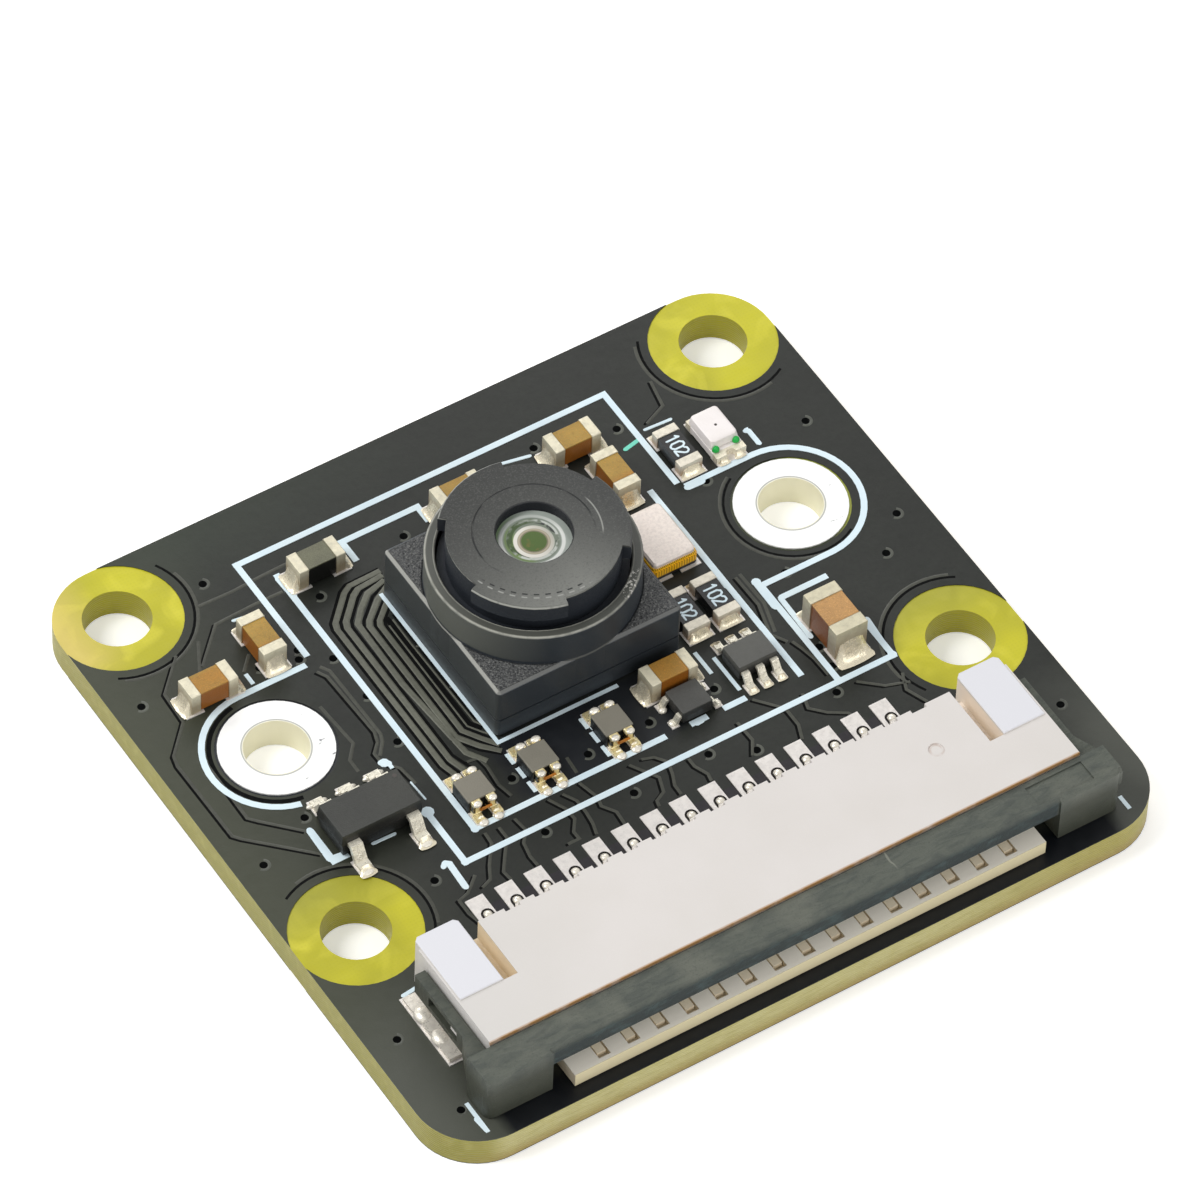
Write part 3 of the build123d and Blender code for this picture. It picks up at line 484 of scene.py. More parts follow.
def cap_end_look(name, rgb, low, height):
    """Tinned end cap: cream on top, with painted shade in tan lower down its upright faces."""
    look = tin_look(name, rgb, 0.38, 5, 0.004, 0.3)
    # Painted shade: tan lower down the upright faces.
    look.blend(low, look.span(look.axis("Z"), SEAT + height - 0.06, SEAT + height * 0.4, 0, 0.85))
    look.mottle(6, 4, 0.5, 0.7, 0.4, shade(rgb, 0.8))
    return look


def lid_look():
    look = tin_look("crystal_lid", (236, 225, 216), 0.45, 9, 0.003, 0.25)
    look.blend((208, 194, 186), look.span(look.noise(12, 5, 0.7), 0.52, 0.7, 0, 0.55))
    look.bump(look.noise(12, 5, 0.7), 0.012)
    return look


def gold_look():
    """Gold seal ring, with fine comb lines along its front."""
    look = Look("gold_plating", (252, 204, 44), 0.34, 0.1)
    x, y = look.axis("X"), look.axis("Y")
    look.mottle(5, 3, 0.4, 0.7, 0.5, (240, 178, 24))
    comb = look.times(look.span(look.math("SINE", look.times(x, 105)), 0.2, 0.6),
                     look.span(look.axis("Z"), SEAT + 0.4, SEAT + 0.43))
    look.blend((104, 66, 8), comb, look.span(y, 3.2, 3.0))
    look.grain(10, 2, 0.004)
    return look


def terminal_look():
    """Line filter terminals: gold-cream, with painted shade near black across their front at mid-height
    beside two stems, so they look waisted between the body and the pad.
    """
    look = tin_look("filter_terminal", (236, 222, 172), 0.28, 6, 0.003, 0.45)
    x, y, z = look.axis("X"), look.axis("Y"), look.axis("Z")
    stems = 0.0
    for cx, cy in LINE_FILTERS:
        for side in (-0.25, 0.25):
            stems = look.math("ADD", stems, look.band(x, cx + side, 0.07, 0.03))
    # Painted shade: near black across the front at mid-height, except at the two stems.
    waist_shade = look.times(look.band(z, SEAT + 0.25, 0.1, 0.06), look.math("SUBTRACT", 1.0, stems, clamp=True))
    look.blend((12, 12, 11), waist_shade, look.span(y, -1.3, -1.4))
    look.blend((196, 160, 84), look.patches(9, 3, 0.5, 0.65), 0.5)
    return look


def package_look(name, top, tint, rough, grain, side, shoulder, fade, share=1.0):
    """Chip package: a grey top, and upright faces painted darker from its shoulder down, as shade."""
    look = plastic_look(name, top, rough, grain, 0.008, tint)
    # Painted shade on the upright faces.
    look.blend(side, look.span(look.axis("Z"), SEAT + shoulder, SEAT + shoulder - fade, 0, share))
    return look


def crystal_base_look():
    """Dark foot of the crystal, with gold and fine comb lines above it."""
    look = plastic_look("crystal_base", (16, 16, 17), 0.5, 14, 0.006)
    gold = look.span(look.axis("Z"), SEAT + 0.1, SEAT + 0.14)
    look.blend((246, 190, 30), gold)
    along = look.math("ADD", look.axis("X"), look.axis("Y"))
    comb = look.span(look.math("SINE", look.times(along, 70)), 0.0, 0.6)
    look.blend((150, 98, 6), comb, gold, 0.8)
    return look


def glass_look(name, rgb, rough, **sockets):
    look = Look(name, rgb, rough, Transmission_Weight=0.9, IOR=1.5, **sockets)
    look.mottle(2.2, 2, 0.4, 0.7, 0.3, shade(rgb, 0.92))
    look.rough(6, 2, rough, rough + 0.03)
    return look


def front_glass_look():
    """Coated front lens: a green middle inside pale rings, with painted reflections in its pale rings and
    white rim, seen over the dark barrel.
    """
    look = Look("front_glass", (112, 122, 106), 0.08, Specular_IOR_Level=0.6,
                Coat_Weight=0.4, Coat_Roughness=0.04)
    x, y = look.axis("X"), look.axis("Y")
    deep = look.radius(LENS[0] - 0.04, LENS[1] - 0.06)
    mid = look.radius(LENS[0] - 0.02, LENS[1] + 0.03)
    outer = look.radius(LENS[0] - 0.05, LENS[1] + 0.02)
    # Painted reflections: a paler outer zone, and greenish crescents at the left.
    look.blend((168, 176, 168), look.span(outer, 0.78, 0.92, 0, 1, True))
    look.blend((104, 130, 66), look.span(mid, 0.9, 0.8), look.span(x, -0.35, -0.6))
    # Painted reflection: a white rim, strongest at the front.
    rim = look.times(look.band(outer, 0.93, 0.035, 0.04), look.span(y, 4.4, 3.6, 0.35, 1.0))
    look.blend((232, 234, 228), rim)
    look.blend((112, 136, 96), look.span(outer, 0.98, 1.04), look.span(x, 0.2, -0.7, 0.0, 0.9))
    # Painted reflection: a broken light ring.
    ring = look.times(look.band(mid, 0.74, 0.03, 0.03), look.patches(2.6, 2, 0.4, 0.5))
    look.blend((196, 200, 192), ring)
    broken = look.span(look.noise(3.4, 2, distort=1.0), 0.42, 0.5)
    dark = look.times(look.band(mid, 0.66, 0.03, 0.03), broken)
    look.blend((44, 50, 44), dark)
    turn = look.math("SUBTRACT", look.times(y, 0.8), look.times(x, 0.6))
    crescent = look.times(look.band(mid, 0.7, 0.07, 0.04), look.span(turn, 3.1, 3.35))
    look.blend((52, 76, 24), crescent, look.span(look.noise(2.4, 3), 0.3, 0.5, 0.4, 1.0))
    look.blend((122, 116, 92), look.span(deep, 0.6, 0.54, 0, 1, True))
    # Painted reflection: a pale ring, strongest at the left.
    pale = look.times(look.band(deep, 0.55, 0.045, 0.03), look.span(x, 0.5, -0.2, 0.45, 1.0))
    look.blend((222, 218, 208), pale)
    look.blend((170, 160, 138), look.band(deep, 0.45, 0.02, 0.02))
    look.blend((66, 92, 20), look.span(deep, 0.4, 0.36, 0, 1, True))
    brown = look.times(look.span(deep, 0.36, 0.33), look.patches(2.6, 3, 0.54, 0.64, 0.6))
    look.blend((110, 96, 36), brown)
    look.grain(1.8, 1, 0.01)
    return look


looks = {
    "board": board_look(),
    "mask": lacquer_look(),
    "tin_ring": bare_ring_look(),
    "pad_tin": tin_look("pad_tin", (230, 225, 220), 0.36, 6, 0.003, 0.3),
    "ink": plastic_look("white_ink", (224, 240, 246), 0.6, 26, 0.006, (206, 228, 240)),
    "holder": holder_look(),
    "barrel": lens_barrel_look(),
    "glue": plastic_look("black_glue", (26, 26, 27), 0.4, 12, 0.01),
    "front_glass": front_glass_look(),
    "lens_glass": glass_look("lens_plastic", (205, 225, 205), 0.02),
    "filter_glass": glass_look("filter_glass", (150, 215, 205), 0.02),
    "cover_glass": glass_look("cover_glass", (225, 232, 230), 0.01),
    "silicon": plastic_look("silicon", (58, 46, 66), 0.2, 8, 0.001, (44, 56, 60)),
    "black_ring": plastic_look("black_ring", (22, 22, 23), 0.55, 18, 0.004),
    "ball": tin_look("ball_solder", (205, 205, 200), 0.25, 9, 0.004),
    "housing": housing_look(),
    "slider": slider_look(),
    "contact": contact_look(),
    "anchor": tin_look("anchor_tin", (232, 226, 214), 0.3, 6, 0.004, 0.4),
    "capacitor": ceramic_look("capacitor_ceramic", (166, 118, 44), (146, 88, 26), 0.8, (168, 136, 62)),
    "big_capacitor": ceramic_look("large_capacitor_ceramic", (186, 142, 88), (120, 70, 32), 1.15),
    "bead": ceramic_look("bead_ferrite", (104, 104, 84), (16, 16, 14), 0.8),
    "cap_end": cap_end_look("end_cap_tin", (224, 217, 192), (168, 152, 122), 0.8),
    "big_cap_end": cap_end_look("large_end_cap_tin", (208, 201, 174), (150, 132, 110), 1.15),
    "flat_cap_end": cap_end_look("resistor_end_tin", (226, 219, 202), (176, 150, 124), 0.45),
    "resistor": plastic_look("resistor_coat", (24, 24, 24), 0.34, 16, 0.004),
    "crystal_base": crystal_base_look(),
    "gold": gold_look(),
    "lid": lid_look(),
    "lamp": plastic_look("lamp_plastic", (242, 236, 234), 0.35, 9, 0.012, (226, 218, 208)),
    "lamp_end": tin_look("lamp_end_tin", (236, 228, 206), 0.3, 6, 0.004, 0.3),
    "package": package_look("package_black", (43, 44, 40), (52, 53, 47), 0.5, 22,
                            (17, 17, 15), 0.84, 0.1, 0.85),
    "switch_package": package_look("switch_package", (80, 80, 76), (66, 66, 63), 0.55, 24,
                                   (26, 26, 25), 0.5, 0.1, 0.8),
    "lead": tin_look("lead_tin", (230, 225, 208), 0.28, 7, 0.004, 0.5),
    "filter_body": package_look("line_filter_body", (126, 122, 110), (112, 109, 98), 0.5, 22,
                                (12, 12, 11), 0.46, 0.04),
    "terminal": terminal_look(),
}
nodes_by_look = {
    "board": "board_core",
    "mask": "solder_mask_top solder_mask_bottom",
    "tin_ring": "plated_hole_left plated_hole_right",
    "ink": "printed_lines",
    "pad_tin": "component_pads socket_pads",
    "holder": "lens_holder",
    "glue": "holder_glue",
    "filter_glass": "infrared_filter",
    "ball": "sensor_solder_balls",
    "silicon": "sensor_die",
    "cover_glass": "sensor_cover_glass",
    "barrel": "lens_barrel",
    "front_glass": "front_lens_element",
    "black_ring": "light_stop lens_spacer_ring lens_retaining_ring",
    "lens_glass": "middle_lens_element rear_lens_element",
    "housing": "socket_housing",
    "slider": "socket_slider",
    "contact": "socket_contacts",
    "anchor": "socket_anchor_tabs",
    "capacitor": "capacitor_bodies",
    "cap_end": "capacitor_end_caps ferrite_bead_end_caps",
    "bead": "ferrite_bead_body",
    "big_capacitor": "large_capacitor_body",
    "big_cap_end": "large_capacitor_end_caps",
    "resistor": "resistor_bodies",
    "flat_cap_end": "resistor_end_caps",
    "crystal_base": "crystal_base",
    "gold": "crystal_seal_ring",
    "lid": "crystal_lid",
    "lamp": "indicator_lamp_base indicator_lamp_lens",
    "lamp_end": "indicator_lamp_ends",
    "package": "regulator_body",
    "switch_package": "switch_chip_body sense_chip_body",
    "lead": "regulator_leads switch_chip_leads sense_chip_leads",
    "filter_body": "line_filter_bodies",
    "terminal": "line_filter_terminals",
}
for key, names in nodes_by_look.items():
    for name in names.split():
        nodes[name].data.materials.clear()
        nodes[name].data.materials.append(looks[key].material)


def soften(name, width):
    """Rounds the edges of a piece by width millimetres."""
    weld = nodes[name].modifiers.new("weld", "WELD")
    weld.merge_threshold = 1e-7
    bevel = nodes[name].modifiers.new("edge", "BEVEL")
    bevel.width = width * MM
    bevel.segments = 3
    bevel.limit_method = "ANGLE"
    bevel.angle_limit = radians(40)
    bevel.harden_normals = True


softened = {
    0.02: "capacitor_bodies",
    0.03: "regulator_body switch_chip_body sense_chip_body line_filter_bodies indicator_lamp_base",
    0.04: "socket_housing",
    0.05: "line_filter_terminals socket_slider crystal_lid",
    0.06: "resistor_end_caps",
    0.1: "capacitor_end_caps ferrite_bead_end_caps indicator_lamp_lens",
    0.12: "large_capacitor_end_caps",
}
for width, names in softened.items():
    for name in names.split():
        soften(name, width)


class Sheet:
    """Gathers points and faces of many like details into one piece."""

    def __init__(self):
        self.points = []
        self.faces = []

    def add(self, points, faces):
        start = len(self.points)
        self.points += points
        self.faces += [[i + start for i in face] for face in faces]


def piece(name, sheet, look, smooth=False):
    """A new mesh piece from a sheet in millimetres, riding on the board."""
    mesh = bpy.data.meshes.new(name)
    mesh.from_pydata([[v * MM for v in p] for p in sheet.points], [], sheet.faces)
    mesh.materials.append(looks[look].material)
    if smooth:
        mesh.polygons.foreach_set("use_smooth", [True] * len(mesh.polygons))
    mesh.update()
    obj = bpy.data.objects.new(name, mesh)
    bpy.context.scene.collection.objects.link(obj)
    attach(obj, "board")


def ribbon(sheet, line, width, low, high, slope):
    """A raised strip along a line of points, with sloping sides and mitred corners."""
    count = len(line)
    sides = []
    for i, (x, y) in enumerate(line):
        ways = []
        if i > 0:
            ways.append((x - line[i - 1][0], y - line[i - 1][1]))
        if i < count - 1:
            ways.append((line[i + 1][0] - x, line[i + 1][1] - y))
        ways = [(a / hypot(a, b), b / hypot(a, b)) for a, b in ways]
        sx = sum(w[0] for w in ways)
        sy = sum(w[1] for w in ways)
        size = hypot(sx, sy)
        sx, sy = sx / size, sy / size
        stretch = 1 / max(0.5, ways[0][0] * sx + ways[0][1] * sy)
        sides.append((-sy * stretch, sx * stretch))
    points = []
    half = width / 2
    for (x, y), (nx, ny) in zip(line, sides):
        for offset, z in ((-half - slope, low), (-half, high), (half, high), (half + slope, low)):
            points.append((x + nx * offset, y + ny * offset, z))
    faces = []
    for i in range(count - 1):
        for k in range(3):
            a = 4 * i + k
            faces.append([a, a + 1, a + 5, a + 4])
    faces += [[3, 2, 1, 0], [4 * count - 4, 4 * count - 3, 4 * count - 2, 4 * count - 1]]
    sheet.add(points, faces)


def arc(x, y, radius, start, end, steps=24):
    """Points along a circle between two angles in degrees."""
    return [(x + radius * cos(radians(start + (end - start) * i / steps)),
             y + radius * sin(radians(start + (end - start) * i / steps))) for i in range(steps + 1)]


def oval(x, y, z, rx, ry, turns):
    """Level points around an ellipse."""
    return [(x + rx * cos(2 * pi * i / turns), y + ry * sin(2 * pi * i / turns), z) for i in range(turns)]


def disc(sheet, x, y, radius, low, high, turns=10):
    """A low round button, for rounded stroke ends and through-holes."""
    points = oval(x, y, low, radius, radius, turns) + oval(x, y, high, radius, radius, turns)
    faces = [[i, (i + 1) % turns, turns + (i + 1) % turns, turns + i] for i in range(turns)]
    sheet.add(points, faces + [[turns + i for i in range(turns)]])


def stroke(sheet, line, width, low, high):
    """A printed or painted line with rounded ends and corners."""
    for i, (a, b) in enumerate(zip(line, line[1:])):
        ribbon(sheet, [a, b], width, low, high + 0.001 * i, 0.01)
    for i, (x, y) in enumerate(line):
        disc(sheet, x, y, width / 2, low, high - 0.0005 + 0.001 * i)


# Painted light on copper under the lacquer: pale strips for its lit rises, near black lines for the shade in
# its dips.
looks["track"] = mask_look("raised_track_highlight", (66, 67, 60))
looks["ridge"] = mask_look("bundle_ridge_highlight", (92, 93, 83))
looks["gap"] = plastic_look("track_gap_shade", (10, 11, 11), 0.85, 20, 0.004, Specular_IOR_Level=0.1)
looks["hole_dark"] = plastic_look("via_hole_shade", (5, 6, 6), 0.9, 12, 0.006, Specular_IOR_Level=0.05)
looks["hole_rim"] = mask_look("via_rim_highlight", (78, 80, 73))

# Copper under the lacquer: the bundle from the sensor, its ridges painted pale as highlight and the gaps
# between them painted near black as shade.
ridges, tracks, gaps = Sheet(), Sheet(), Sheet()
grooves = [
    [(-2.9, 7.62), (-4.07, 7.6), (-4.35, 7.45), (-5.22, 6.55), (-5.3, 6.3), (-5.31, 0.31), (-5.2, -0.1)],
    [(-2.9, 7.44), (-3.9, 7.4), (-4.15, 7.25), (-4.93, 6.45), (-5.02, 6.2), (-5.03, 0.3), (-4.9, -0.2)],
    [(-2.95, 7.26), (-3.75, 7.15), (-4.0, 6.98), (-4.62, 6.33), (-4.72, 6.1), (-4.74, 0.5), (-4.5, -0.2)],
    [(-3.0, 7.06), (-3.6, 6.8), (-4.3, 6.15), (-4.42, 5.95), (-4.44, 0.95), (-3.95, 0.24), (-3.45, -0.22)],
    [(-3.05, 6.8), (-3.5, 6.42), (-4.02, 5.98), (-4.12, 5.8), (-4.15, 1.1), (-3.78, 0.51), (-3.38, 0.0)],
    [(-3.1, 6.5), (-3.4, 6.2), (-3.77, 5.85), (-3.85, 5.65), (-3.88, 1.15), (-3.62, 0.74), (-3.3, 0.24)],
]
for first, second in zip(grooves, grooves[1:]):
    middle = [((a + c) / 2, (b + d) / 2) for (a, b), (c, d) in zip(first, second)]
    ribbon(ridges, middle, 0.12, TOP, TOP + 0.014, 0.04)
for line in grooves:
    ribbon(gaps, line, 0.085, TOP, TOP + 0.004, 0.008)
ribbon(gaps, [(-3.68, 5.9), (-3.7, 1.25), (-3.46, 0.9)], 0.16, TOP, TOP + 0.003, 0.01)
ribbon(gaps, [(-3.4, 5.9), (-3.41, 1.3)], 0.16, TOP, TOP + 0.003, 0.01)
for line in ([(-3.55, 5.74), (-3.57, 4.75), (-3.52, 1.24), (-3.36, 0.95)],
             [(-3.76, 5.6), (-3.79, 1.2), (-3.5, 0.75), (-3.32, 0.55)]):
    ribbon(ridges, line, 0.03, TOP, TOP + 0.014, 0.015)

# Single tracks: a dark line of painted shade, and beside it a pale painted highlight where the copper rises.
single = [
    [(-8.31, 9.13), (-7.15, 9.1), (-6.15, 9.16), (-5.08, 9.19)],
    [(-9.38, 7.11), (-8.23, 8.28), (-6.85, 8.34), (-5.88, 8.33)],
    [(-9.83, 7.86), (-10.87, 6.78), (-10.92, 5.63), (-11.83, 4.66), (-11.92, 4.28), (-11.88, 1.24),
     (-11.69, 1.0), (-9.99, -0.67)],
    [(-11.14, 4.11), (-11.17, 1.58), (-10.95, 1.32), (-9.95, 0.29)],
    [(-6.6, 5.2), (-6.43, 4.88), (-6.33, 2.41), (-6.45, 2.04), (-6.76, 1.72), (-6.74, 1.28), (-6.38, 0.85),
     (-6.3, 0.15)],
    [(-5.08, -2.48), (-5.08, -2.91), (-5.5, -3.46), (-5.83, -3.92), (-5.79, -4.28)],
    [(-5.54, -2.44), (-5.57, -2.85), (-6.06, -3.51), (-6.31, -3.96), (-6.66, -4.09)],
    [(-4.52, -2.44), (-4.46, -2.95), (-4.77, -3.33), (-4.87, -3.85), (-4.85, -4.24)],
    [(-2.84, -2.4), (-2.61, -2.82), (-2.61, -3.3), (-2.66, -3.75), (-2.78, -4.16)],
    [(-3.31, -2.35), (-3.05, -2.9), (-3.02, -3.34), (-3.31, -3.74), (-3.3, -4.03), (-3.69, -4.04)],
    [(-2.2, -2.3), (-2.03, -2.99), (-2.11, -3.36), (-1.84, -3.77), (-1.86, -4.05), (-1.88, -4.32)],
    [(-0.18, -2.51), (0.19, -2.64), (0.44, -2.98), (0.31, -3.43), (0.14, -3.81), (0.13, -4.19)],
    [(-0.6, -2.5), (-0.09, -3.34), (-0.27, -3.85), (-0.62, -4.03), (-0.67, -4.24)],
    [(1.02, -3.2), (1.02, -3.53), (1.2, -3.97), (1.15, -4.23)],
    [(-6.6, -3.6), (-7.12, -4.04), (-7.49, -4.15), (-7.49, -4.7), (-7.39, -5.15)],
    [(-4.6, 0.05), (-4.23, 0.0), (-4.18, -0.41), (-4.25, -1.14), (-4.14, -1.68)],
    [(5.93, 1.84), (5.95, 0.62), (5.63, -0.52), (5.92, -1.01)],
    [(6.04, -1.08), (6.15, -1.46), (6.25, -1.96), (6.27, -2.68)],
    [(3.83, -2.31), (4.48, -3.09), (4.48, -3.79), (4.27, -4.32)],
    [(5.22, -2.88), (5.06, -3.44), (5.46, -3.86), (5.98, -4.2), (6.05, -4.4)],
    [(6.83, -3.33), (7.48, -3.9), (8.2, -4.15)],
    [(8.18, -3.75), (7.93, -4.34), (8.21, -5.04)],
    [(2.98, -2.8), (3.01, -3.57), (2.69, -4.07)],
    [(7.9, 9.6), (7.7, 8.6), (6.9, 8.25)],
]
for line in single:
    ribbon(gaps, line, 0.06, TOP, TOP + 0.003, 0.012)
    ribbon(tracks, [(x + 0.09, y + 0.01) for x, y in line], 0.05, TOP, TOP + 0.008, 0.03)
for line in ([(-6.33, 5.33), (-6.16, 5.04), (-6.12, 2.25), (-6.23, 1.98), (-6.56, 1.57)],
             [(-7.87, 6.82), (-8.35, 6.31)], [(-9.5, 6.9), (-8.9, 8.0)],
             [(-7.11, 4.05), (-6.99, 2.37), (-7.4, 1.89), (-7.41, 1.4)],
             [(-1.92, -1.3), (-1.97, -1.94)], [(6.2, 1.9), (6.22, 0.6), (5.9, -0.5)]):
    ribbon(tracks, line, 0.05, TOP, TOP + 0.008, 0.03)
for x, y in CORNER_HOLES:
    inward = 45 if x < 0 and y < 0 else 135 if y < 0 else -45 if x < 0 else -135
    ribbon(gaps, arc(x, y, 2.3, inward - 75, inward + 75), 0.06, TOP, TOP + 0.003, 0.012)
    ribbon(tracks, arc(x, y, 2.4, inward - 70, inward + 60), 0.05, TOP, TOP + 0.007, 0.03)
ribbon(gaps, arc(-PLATED_X, PLATED_Y, 1.99, 100, 262), 0.12, TOP, TOP + 0.003, 0.012)
ribbon(gaps, arc(PLATED_X, PLATED_Y, 2.03, 120, 300), 0.05, TOP, TOP + 0.003, 0.012)
ribbon(tracks, arc(PLATED_X, PLATED_Y, 2.14, 120, 300), 0.04, TOP, TOP + 0.007, 0.03)
piece("bundle_ridges", ridges, "ridge")
piece("copper_tracks", tracks, "track")
piece("copper_gaps", gaps, "gap")

# Plated through-holes: a small near black disc as painted shade in the hole, with a faint painted highlight
# on one side of its rim.
vias = [(-7.67, 9.81), (-7.88, 6.21), (-9.64, 0.76), (-11.56, -0.11), (-4.94, 7.61), (-6.57, 6.2),
        (-3.93, -3.31), (-7.62, -3.15), (11.16, 5.88), (11.51, 1.44), (10.39, 0.32), (-0.94, -3.43),
        (-5.83, 5.4), (-5.72, 3.68), (-5.85, 1.76), (-3.33, 4.63), (-3.3, 2.81), (-3.71, -1.13),
        (-1.32, -1.52), (-11.6, 6.75), (-1.6, 8.3), (3.55, 9.2), (6.1, 8.55), (7.3, 5.45),
        (7.4, 1.25), (0.85, -1.45), (3.17, -1.38), (1.7, -3.35), (6.2, -3.35), (3.0, -3.95),
        (-11.55, -7.45), (-11.3, -10.5), (11.6, -7.15), (6.7, -1.65), (6.65, -2.45), (-6.72, 5.88)]
rims, darks = Sheet(), Sheet()
for x, y in vias:
    ribbon(rims, arc(x, y, 0.18, -150, 60, 14), 0.03, TOP, TOP + 0.008, 0.03)
    disc(darks, x, y, 0.125, TOP, TOP + 0.004, 12)
piece("via_rims", rims, "hole_rim")
piece("via_holes", darks, "hole_dark")


def fillet(sheet, x, y, way, width, height, reach, spread=0.05):
    """A concave solder fillet that leans on an upright face at (x, y) and runs out along way."""
    ax, ay = {"+X": (1, 0), "-X": (-1, 0), "+Y": (0, 1), "-Y": (0, -1)}[way]
    points, faces = [], []
    steps, columns = 8, 9
    for i in range(steps + 1):
        t = i / steps
        half = width / 2 + spread * sin(pi * min(1, t * 1.4) / 2) - spread * 1.6 * max(0, t - 0.75)
        for k in range(columns):
            s = 2 * k / (columns - 1) - 1
            rise = height * (1 - t) ** 2.2 * (1 - 0.2 * s * s) + 0.03 * (1 - s ** 4) * (1 - t ** 3)
            wobble = 0.02 * noise.noise(Vector((x * 3 + s * 1.5, y * 3 + t * 2, height))) * (1 - abs(s))
            lift = 0.0 if abs(s) == 1 else max(0.0, rise + wobble)
            out = reach * t * (1 - 0.12 * s * s * t)
            points.append((x + ax * out - ay * half * s, y + ay * out + ax * half * s, SEAT + lift))
    for i in range(steps):
        for k in range(columns - 1):
            a = i * columns + k
            faces.append([a, a + columns, a + columns + 1, a + 1])
    sheet.add(points, faces)


def chip_fillets(x, y, way, width, height, reach):
    """A fillet at each end of a two-ended chip that lies along X or Y."""
    for sign, mark in ((-1, "-"), (1, "+")):
        away = sign * CHIP_LENGTH / 2
        end = (x + away, y) if way == "X" else (x, y + away)
        fillet(solder, *end, mark + way, width, height, reach)


looks["solder"] = tin_look("solder_joint", (236, 226, 200), 0.24, 5, 0.004, 0.5)
looks["bright_solder"] = tin_look("bright_solder", (244, 238, 224), 0.22, 5, 0.003, 0.35)
solder = Sheet()
for x, y, way in ((-7.47, 6.77, "Y"), (-9.72, 6.07, "X"), (4.43, 8.48, "X"), (4.87, 6.72, "Y"),
                  (0.42, 8.47, "X"), (2.08, -0.52, "X"), (-4.56, 8.47, "X")):
    chip_fillets(x, y, way, 0.74, 0.46, 0.3)
fillet(solder, 7.36, -2.33, "-Y", 1.06, 0.62, 0.5, spread=0.1)
fillet(solder, 7.36, -0.53, "+Y", 1.06, 0.5, 0.3)
for x, y in RESISTORS:
    chip_fillets(x, y, "Y", 0.72, 0.26, 0.22)
for x in (-9.12, -7.12):
    fillet(solder, x, -1.78, "-Y", 0.4, 0.16, 0.32, spread=0.08)
for x in (4.11, 4.61, 5.11):
    fillet(solder, x, -2.04, "-Y", 0.26, 0.12, 0.16, spread=0.03)
    fillet(solder, x, -0.08, "+Y", 0.26, 0.1, 0.14, spread=0.03)
for cx, cy in LINE_FILTERS:
    for side in (-0.27, 0.27):
        fillet(solder, cx + side, cy - 0.8, "-Y", 0.24, 0.1, 0.16, spread=0.05)
for x in (8.15, 8.71):
    fillet(solder, x, 5.79, "-Y", 0.3, 0.16, 0.16, spread=0.04)
piece("solder_fillets", solder, "solder", smooth=True)


def bump_dome(sheet, x, y, rx, ry, height, low, turns=20, rings=6):
    """A low smooth mound, for solder and painted dots."""
    points, faces = [], []
    for r in range(rings):
        t = r / rings
        rise = low + height * sin(pi / 2 * t) if r else low - 0.02
        size = cos(pi / 2 * t)
        points += oval(x, y, rise, rx * size, ry * size, turns)
    points.append((x, y, low + height))
    for r in range(rings - 1):
        for i in range(turns):
            j = (i + 1) % turns
            faces.append([r * turns + i, r * turns + j, (r + 1) * turns + j, (r + 1) * turns + i])
    for i in range(turns):
        faces.append([(rings - 1) * turns + i, (rings - 1) * turns + (i + 1) % turns, rings * turns])
    sheet.add(points, faces)


def bar(sheet, x, y, z):
    """The short winding end that crosses a line filter's front, in the middle at (x, y)."""
    corners = [(x - 0.2, y - 0.035), (x + 0.2, y - 0.035), (x + 0.2, y + 0.035), (x - 0.2, y + 0.035)]
    points = [(u, v, w) for w in (z, z + 0.05) for u, v in corners]
    sheet.add(points, [[0, 1, 5, 4], [1, 2, 6, 5], [2, 3, 7, 6], [3, 0, 4, 7], [4, 5, 6, 7], [3, 2, 1, 0]])


mounds, bars = Sheet(), Sheet()
for x in (-10.5, 10.5):
    for y in (-7.15, -8.1):
        bump_dome(mounds, x, y, 0.26, 0.34, 0.16, SEAT + 0.06)
for cx, cy in LINE_FILTERS:
    for x in (cx - 0.26, cx + 0.26):
        bump_dome(mounds, x, cy + 0.56, 0.17, 0.12, 0.1, SEAT + 0.46)
        bump_dome(mounds, x, cy - 0.6, 0.14, 0.11, 0.07, SEAT + 0.46)
        bump_dome(mounds, x, cy - 0.95, 0.16, 0.16, 0.08, SEAT)
    bar(bars, cx, cy - 0.665, SEAT + 0.2)
for x, y, rx, ry in ((-9.08, 1.0, 0.36, 0.13), (-8.1, 1.0, 0.36, 0.13), (-7.14, 1.03, 0.36, 0.13),
                     (1.42, -1.3, 0.14, 0.12), (1.42, -1.86, 0.15, 0.14), (2.93, -1.9, 0.14, 0.13),
                     (-9.12, -1.86, 0.24, 0.2), (-7.12, -1.86, 0.24, 0.2)):
    bump_dome(mounds, x, y, rx, ry, 0.09, SEAT)
piece("solder_mounds", mounds, "bright_solder", smooth=True)
looks["copper"] = tin_look("copper_wire", (206, 132, 52), 0.35, 8, 0.003, 0.4)
piece("line_filter_wires", bars, "copper")

